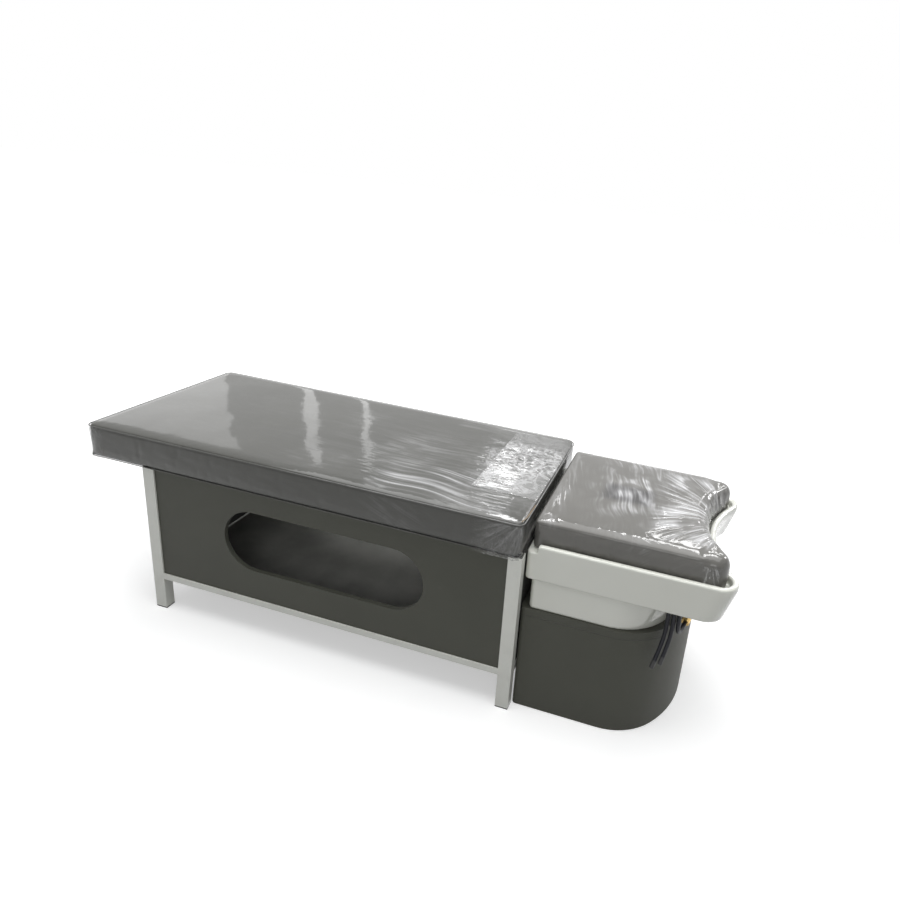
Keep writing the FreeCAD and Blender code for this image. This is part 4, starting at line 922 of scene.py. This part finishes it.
def add_mattress_patch(pad, material):
    """Film that lies on the pad, smooth at the near side and crushed beyond."""
    columns = np.linspace(*PATCH_X, PATCH_COLUMNS)
    rows = []
    for line in np.linspace(*PATCH_Y, PATCH_ROWS):
        heights = [surface_height(pad, column, line, fallback=0.618) for column in columns]
        rows.append(np.c_[columns, np.full(len(columns), line), np.array(heights) + FILM_GAP])
    rows = np.array(rows)
    flat_x, flat_y = rows[..., 0], rows[..., 1]
    crushed = patch((flat_x, flat_y), (0.20, 0.44), (-0.03, 0.17), 0.03)
    rumple = waves(flat_x, flat_y, 41, 22, 0.10, 0.035, 0.6, 0.9) * 0.0010
    pulled = waves(flat_x, flat_y, 42, 10, 0.06, 0.025, math.pi / 2, 0.2) * 0.0003
    rows[..., 2] += np.abs(rumple) * crushed + np.abs(pulled) * (1 - crushed)
    sheet = grid_sheet("mattress_film_patch", rows)
    x, y, _ = points_of(sheet.data).T
    # The smooth part of the patch shows more: partly milky film, partly a painted highlight.
    film_attributes(sheet.data, {
        "film_haze_and_highlight": 0.08 + 0.30 * patch((x, y), (0.225, 0.41), (-0.17, -0.015), 0.025),
        "film_edge": np.ones(len(x)),
        "film_clutter": 0.12 + 0.88 * patch((x, y), (0.2, 0.44), (-0.025, 0.17), 0.025),
    })
    dress(sheet, material, "bed", "cushion_leatherette")


def add_mattress_corners(material):
    top, bottom = MATTRESS["top"], MATTRESS["bottom"]
    outline = mattress_outline(0.0)
    head = outline[(outline[:, 0] > 0.28) & (outline[:, 1] < -0.17)]
    film_skirt(
        "mattress_film_head", head[np.argsort(head[:, 0] + head[:, 1])], material, "bed",
        top=top - 0.008, bottom=bottom - 0.006, hub=(0.155, top + 0.004), seed=51,
        reach=0.0018, hang=0.002, fade=0.07,
    )
    foot = outline[(outline[:, 0] < -0.93) & (outline[:, 1] < -0.25)]
    film_skirt(
        "mattress_film_foot", foot[np.argsort(foot[:, 0] - foot[:, 1])], material, "bed",
        top=top - 0.008, bottom=bottom - 0.001, hub=(0.058, top + 0.004), seed=52,
        reach=0.0012, hang=0.0008, fade=0.03,
    )


def add_mattress(material, film, patch_film, tape):
    pad = add_mattress_pad(material)
    add_mattress_trim(material)
    add_mattress_patch(pad, patch_film)
    add_mattress_corners(film)
    line = [(0.4255, -0.292, 0.6195), (0.4315, -0.262, 0.6185), (0.4335, -0.19, 0.6185)]
    strip = tube_along("mattress_tape", line, 0.0016, 6)
    dress(strip, tape, "bed", "cushion_leatherette")


# Lid

LID = {"left": 0.450, "tip": 0.971, "side": 0.2545, "bottom": 0.5233, "top": 0.6123}
# The head end of the lid and of the basin reaches this much past the solids.
TIP_REACH = 0.007


def add_lid_pad(material):
    d = LID
    inset = 0.0012
    outline = notched_outline(
        d["left"] + inset, d["tip"] - inset, d["side"] - inset, corner=0.013, lobe=0.040,
        depth=0.060,
    )
    edge = 0.008 + 0.018 * step_up(outline[:, 0], 0.885, 0.925)
    rings = cushion_rings(d["bottom"], d["top"] - 0.004, edge, belly=0.0008, foot=0.003)
    pad = stacked("lid_cushion", outline, rings)
    remesh(pad, fine=0.0055)

    def held(points):
        x, y, z = points.T
        rim = np.minimum(x - d["left"], d["side"] - np.abs(y))
        seam = (rim < 0.011) & (z > d["top"] - 0.016) & (x < 0.90)
        foot = z < d["bottom"] + 0.005
        return np.where(seam | foot, 1.0, 0.0)

    inflate(pad, held, pressure=3.0, cap=0.003, slack=0.004)
    refine(pad)
    mesh = pad.data
    x, y, z = points_of(mesh).T
    edge_x = np.maximum(np.minimum(x - d["left"], np.hypot(x - 1.245, y) - 0.33), 0)
    edge_y = np.maximum(d["side"] - np.abs(y), 0)
    on_top = step_up(z, d["top"] - 0.018, d["top"] - 0.009)
    fan_x, fan_y = x - 0.985, y + 0.012
    far = np.hypot(fan_x, fan_y)
    turn = np.arctan2(fan_y, -fan_x)
    fan = step_up(x, 0.73, 0.83) * (1 - step_up(np.abs(y), 0.17, 0.23))
    pleats = waves(turn, far * 0.2, 31, 16, 0.5, 0.13, 0.0, 0.05) * 0.0007 * fan
    pucker = waves(x, y, 32, 16, 0.05, 0.018, 0.25, 0.25) * 0.0005
    middle = bell(x, 0.685, 0.085) * bell(y, 0.04, 0.16)
    z = z + on_top * (dome(0.0085, edge_x, 0.06, edge_y, 0.055) + pleats + pucker * middle)

    # Slack walls with a groove below the seam, and folds in the hollow of the head end
    wall = (1 - on_top) * step_up(z, d["bottom"] + 0.012, d["bottom"] + 0.03)
    groove = bell(z, d["top"] - 0.0135, 0.0016) * (1 - on_top) * 0.0015
    straight = 1 - step_up(x, 0.90, 0.93)
    near = step_up(np.abs(y), d["side"] - 0.02, d["side"] - 0.006) * straight
    slump = waves(x, z * 2, 33, 12, 0.12, 0.035, 0.6, 0.8) * 0.0005 * wall
    y = y + np.sign(y) * (slump - groove) * near
    hollow = step_up(x, 0.88, 0.905) * step_up(0.2 - np.abs(y), 0.0, 0.03)
    x = x + waves(y, z * 0.25, 34, 14, 0.05, 0.012, 0.0, 0.1) * 0.0010 * wall * hollow
    z = np.maximum(z, d["bottom"])
    x = x + TIP_REACH * step_up(x, 0.84, 0.96)
    set_points(mesh, np.c_[x, y, z])

    # Where the film creases and hazes, where highlights are painted, and where a dark reflection
    # and shade are painted
    top = step_up(z, d["top"] - 0.024, d["top"] - 0.006)
    short = 1 - step_up(x, 0.87, 0.93)
    near_band = bell(y, -0.222, 0.028) * step_up(x, 0.60, 0.72) * short
    far_band = bell(y, 0.215, 0.03) * step_up(x, 0.55, 0.62) * short
    left_band = bell(x, 0.485, 0.022)
    cloud = step_up(waves(x, y, 35, 9, 0.16, 0.05, 0.4, 1.2), -0.5, 1.0)
    near_wall = wall * (y < 0.02 - d["side"]) * step_up(x, 0.66, 0.80)
    long_across = np.where(near_wall > 0, z - 0.8 * x, y + 0.3 * (x - 0.7))
    cross_across = x + 0.22 * y + 0.006 * waves(x, y, 36, 5, 0.3, 0.1, 1.5, 0.5)
    cross_lines = 1.9 * middle * (0.4 + 0.6 * cloud) + 0.35 * far_band + 0.3 * left_band
    fan_lines = 1.5 * fan * (1 - 0.5 * step_up(x, 0.9, 0.94))
    # Haze in the middle and over the fan, and a painted highlight along the near band.
    haze_and_highlight = 0.02 + 0.22 * middle * cloud + 0.08 * fan * cloud + 0.12 * near_band * cloud
    # A painted dark reflection in the middle of the top.
    painted_dark_share = 1.5 * patch((x, y), (0.60, 0.745), (-0.06, 0.04), 0.02)
    film_attributes(mesh, {
        "flow_cross": np.c_[cross_across, y, z],
        "flow_fan": np.c_[turn, far, z],
        "flow_long": np.c_[long_across, x, z],
        "crease_cross": cross_lines * top,
        "crease_fan": fan_lines * top + 0.6 * wall * hollow,
        "crease_long": 0.2 * near_band * cloud * top + 0.2 * near_wall * cloud,
        "film_haze_and_highlight": haze_and_highlight * top,
        # Painted shade on the walls in the hollow of the head end.
        "film_painted_dark": painted_dark_share * top + 0.4 * wall * hollow,
    })
    dress(pad, material, "lid", "cushion_leatherette", "lid_pad")


def add_lid(material, film):
    add_lid_pad(material)
    d = LID
    outline = notched_outline(
        d["left"], d["tip"], d["side"], corner=0.014, lobe=0.0407, depth=0.060,
    )
    lobe = outline[(outline[:, 0] > 0.90) & (outline[:, 1] < -0.19)]
    film_skirt(
        "lid_film_corner", lobe[np.argsort(np.arctan2(lobe[:, 1] + 0.2, lobe[:, 0] - 0.90))],
        film, "lid", top=d["top"] - 0.018, bottom=d["bottom"] + 0.001, hub=(0.02, d["top"]),
        seed=53, reach=0.0012, hang=0.0, fade=0.02,
    )


# Neck rest pad

NECK = {"bottom": 0.458, "top": 0.5185, "seam": 0.500}


def add_neck_pad(material):
    outline = horseshoe_outline(left=0.714, hub=0.759, outer=0.1135, slot=0.0435, corner=0.021)
    rings = cushion_rings(NECK["bottom"], NECK["top"], edge=0.013, belly=0.0015, foot=0.005)
    pad = stacked("neck_cushion", outline, rings)
    remesh(pad, fine=0.004)

    def held(points):
        return np.where(points[:, 2] < 0.465, 1.0, 0.0)

    inflate(pad, held, pressure=3.0, cap=0.003, slack=0.0)
    refine(pad)
    points = points_of(pad.data)
    points[:, 2] = np.clip(points[:, 2], NECK["bottom"], 0.521)
    set_points(pad.data, points)
    dress(pad, material, "neck_pad", "cushion_leatherette", "neck_rest_pad")
    line = outline + outward(outline) * 0.0012
    seam = tube_along(
        "neck_seam", np.c_[line, np.full(len(line), NECK["seam"])], 0.0013, 6, True,
    )
    dress(seam, material, "neck_pad", "cushion_leatherette")


# Basin

def add_basin(material):
    """The basin and its apron, with soft moulded edges."""
    for node in ("basin", "basin_apron"):
        shell = bpy.data.objects.new(node + "_shell", nodes[node].data.copy())
        scene.collection.objects.link(shell)
        remesh(shell, fine=0.0028)
        smooth = shell.modifiers.new("smooth", "SMOOTH")
        smooth.factor = 0.5
        smooth.iterations = 6
        baked(shell)
        points = points_of(shell.data)
        points[:, 0] += TIP_REACH * step_up(points[:, 0], 0.90, 0.99)
        set_points(shell.data, points)
        dress(shell, material, "bed", "basin_gloss", node)


# Stage and light

WORLD_LIGHT = 0.30


def seen_rays(g):
    """1 for camera, glossy and transmission rays, 0 for the light that bounces."""
    path = g.add("LightPath").outputs
    value = path["Is Camera Ray"]
    for name in ("Is Glossy Ray", "Is Transmission Ray"):
        value = g.math("MAXIMUM", value, path[name])
    return value


def add_stage():
    bpy.ops.mesh.primitive_plane_add(size=60, location=(0, 0, 0))
    floor = bpy.context.object
    floor.name = "floor"
    g = Graph("floor")
    place = g.place()
    seen = seen_rays(g)
    reach = g.add("VectorMath", {0: place}, operation="LENGTH").outputs["Value"]
    glow = g.math("MULTIPLY", seen, g.spread(reach, 1.2, 4.5, 0.42, 1.0))
    tone = g.spread(g.noise(place, 2.0, 3), 0.3, 0.7)
    seen_tone = g.blend(tone, (0.80, 0.80, 0.80), (0.82, 0.82, 0.82))
    body = g.add("BsdfDiffuse", {"Color": g.blend(seen, (0.27, 0.27, 0.262), seen_tone)})
    shine = g.add("Emission", {"Color": (1.0, 1.0, 1.0), "Strength": glow})
    g.add("OutputMaterial", {"Surface": g.add("AddShader", {0: body, 1: shine})})
    floor.data.materials.append(g.owner)


def add_world():
    g = Graph("studio", "worlds")
    scene.world = g.owner
    dim = g.add("Background", {"Color": (0.97, 0.985, 1.0), "Strength": WORLD_LIGHT})
    bright = g.add("Background", {"Color": (1.0, 1.0, 1.0), "Strength": 1.0})
    g.add("OutputWorld", {
        "Surface": g.add("MixShader", {0: seen_rays(g), 1: dim, 2: bright}),
    })


def add_lamp(name, place, target, size, radiance):
    """An area lamp whose face has the given brightness."""
    data = bpy.data.lights.new(name, "AREA")
    data.shape = "RECTANGLE"
    data.size, data.size_y = size
    data.energy = radiance * math.pi * size[0] * size[1]
    lamp = bpy.data.objects.new(name, data)
    lamp.location = place
    lamp.rotation_euler = (Vector(target) - Vector(place)).to_track_quat("-Z", "Y").to_euler()
    lamp.visible_camera = False
    scene.collection.objects.link(lamp)
    return lamp


# Lamps that only show in the gloss: place, size and brightness. The panes stand
# upright across from the camera, and the glints face the lid.
PANES = [
    ("window", (-5.3, 3.7, 2.3), (2.5, 2.2), 0.85),
    ("band_left", (-3.0, 3.7, 2.4), (0.16, 1.7), 1.5),
    ("band_right", (-2.35, 3.7, 2.4), (0.08, 1.7), 1.8),
    ("band_head", (-0.88, 3.7, 2.68), (0.42, 0.32), 6.0),
]
GLINTS = [
    ("glint_notch", (1.9, 3.7, 2.7), (0.6, 0.5), 9),
    ("glint_high", (1.27, 3.4, 3.35), (1.2, 0.3), 13),
    ("glint_top", (1.0, 2.0, 3.6), (1.1, 0.45), 16),
    ("glint_edge", (-0.5, 2.0, 3.6), (0.5, 0.45), 22),
    ("glint_side", (2.9, 2.6, 2.4), (0.5, 1.0), 20),
]


def add_lamps():
    add_lamp("ceiling", (0.0, 0.1, 3.4), (0, 0, 0.4), (4.4, 3.2), 2.95)
    add_lamp("front", (0.9, -3.4, 2.1), (0.1, 0, 0.4), (1.6, 0.8), 4.0)
    add_lamp("back", (-1.2, 2.6, 3.0), (0.1, 0, 0.2), (1.2, 0.8), 8.0).visible_glossy = False
    for name, place, size, radiance in PANES:
        target = (place[0], 0, place[2])
        add_lamp(name, place, target, size, radiance).visible_diffuse = False
    for name, place, size, radiance in GLINTS:
        add_lamp(name, place, (0.6, 0, 0.6), size, radiance).visible_diffuse = False


# Materials on the solids

def coat_nodes():
    looks = {
        "powder_coat": powder_coat(),
        "cap_plastic": plain_plastic("cap_plastic", (0.09, 0.09, 0.09), 0.45),
        "panel_leatherette": panel_leatherette(),
        "plywood": plywood(),
        "foam": foam(),
        "steel": metal("zinc_steel", (0.62, 0.62, 0.6), 0.32, 0.3),
        "chrome": metal("chrome", (0.86, 0.87, 0.88), 0.06),
        "rubber": hose_rubber(),
        "waste_plastic": plain_plastic("waste_plastic", (0.72, 0.72, 0.7), 0.35, coat=0.2),
        "black_plastic": plain_plastic("black_plastic", (0.012, 0.012, 0.013), 0.38),
        "brass": metal("brass", (0.72, 0.5, 0.2), 0.24, 0.3),
        "basin_gloss": basin_gloss(),
        "cushion_leatherette": bare_leatherette(),
    }
    special = {
        "pedestal_cover": panel_leatherette("pedestal_leatherette", 0.318),
        "mattress_board": board_lining("pad_underside", (0.03, 0.03, 0.03)),
        "storage_floor_board": board_lining("storage_lining", (0.44, 0.44, 0.41)),
    }
    special["lid_board"] = special["mattress_board"]
    wall = board_lining("wall_lining", (0.035, 0.036, 0.032))
    for side in ("front", "rear", "foot", "head"):
        special[side + "_panel_board"] = wall
    for part in frame["record"]["subparts"]:
        node = nodes[part["node"]]
        look = special.get(part["node"], looks[part["material_slot"]])
        node.data.materials.clear()
        node.data.materials.append(look)
    return looks


def soften_edges():
    """Rounded tube corners and wrapped panel edges on the solids' own meshes."""
    widths = {"powder_coat": 0.0022, "panel_leatherette": 0.0012, "cap_plastic": 0.0012}
    for part in frame["record"]["subparts"]:
        width = widths.get(part["material_slot"])
        if width is None:
            continue
        node = nodes[part["node"]]
        flat = node.modifiers.new("flat", "DECIMATE")
        flat.decimate_type = "DISSOLVE"
        flat.angle_limit = math.radians(1)
        bevel = node.modifiers.new("round", "BEVEL")
        bevel.width = width
        bevel.segments = 3
        bevel.limit_method = "ANGLE"
        bevel.angle_limit = math.radians(50)


MATTRESS_STREAKS = [
    ("flow_long", "crease_long", 55, 3.2, 2, 10),
    ("flow_cross", "crease_cross", 34, 16, 2, 9),
    ("flow_coarse", "crease_coarse", 28, 1.2, 1, 10),
]
LID_STREAKS = [
    ("flow_cross", "crease_cross", 46, 4, 1, 8),
    ("flow_fan", "crease_fan", 8.5, 3, 1, 9),
    ("flow_long", "crease_long", 60, 5, 2, 9),
]


def main():
    scene.view_settings.view_transform = "Standard"
    add_camera()
    looks = coat_nodes()
    add_hoses(looks["rubber"])
    film = clear_film("loose_film", cover=0.0, clutter=0.03, scale=160)
    patch_film = clear_film("film_patch", cover=0.05, clutter=0.5, scale=34)
    tape = plain_plastic("tape", (0.32, 0.23, 0.14), 0.3)
    # Both cushions are one leatherette: the lid's copy is painted lighter and the mattress's darker
    # to stand in for how light falls on each.
    mattress_look = film_leatherette(
        "mattress_film", MATTRESS_STREAKS, colour=(0.057, 0.057, 0.050), crease_haze_highlight=0.34,
    )
    lid_look = film_leatherette("lid_film", LID_STREAKS, colour=(0.136, 0.132, 0.121), crease_haze_highlight=0.52)
    add_mattress(mattress_look, film, patch_film, tape)
    add_lid(lid_look, film)
    add_neck_pad(looks["cushion_leatherette"])
    add_basin(looks["basin_gloss"])
    soften_edges()
    add_stage()
    add_world()
    add_lamps()


main()
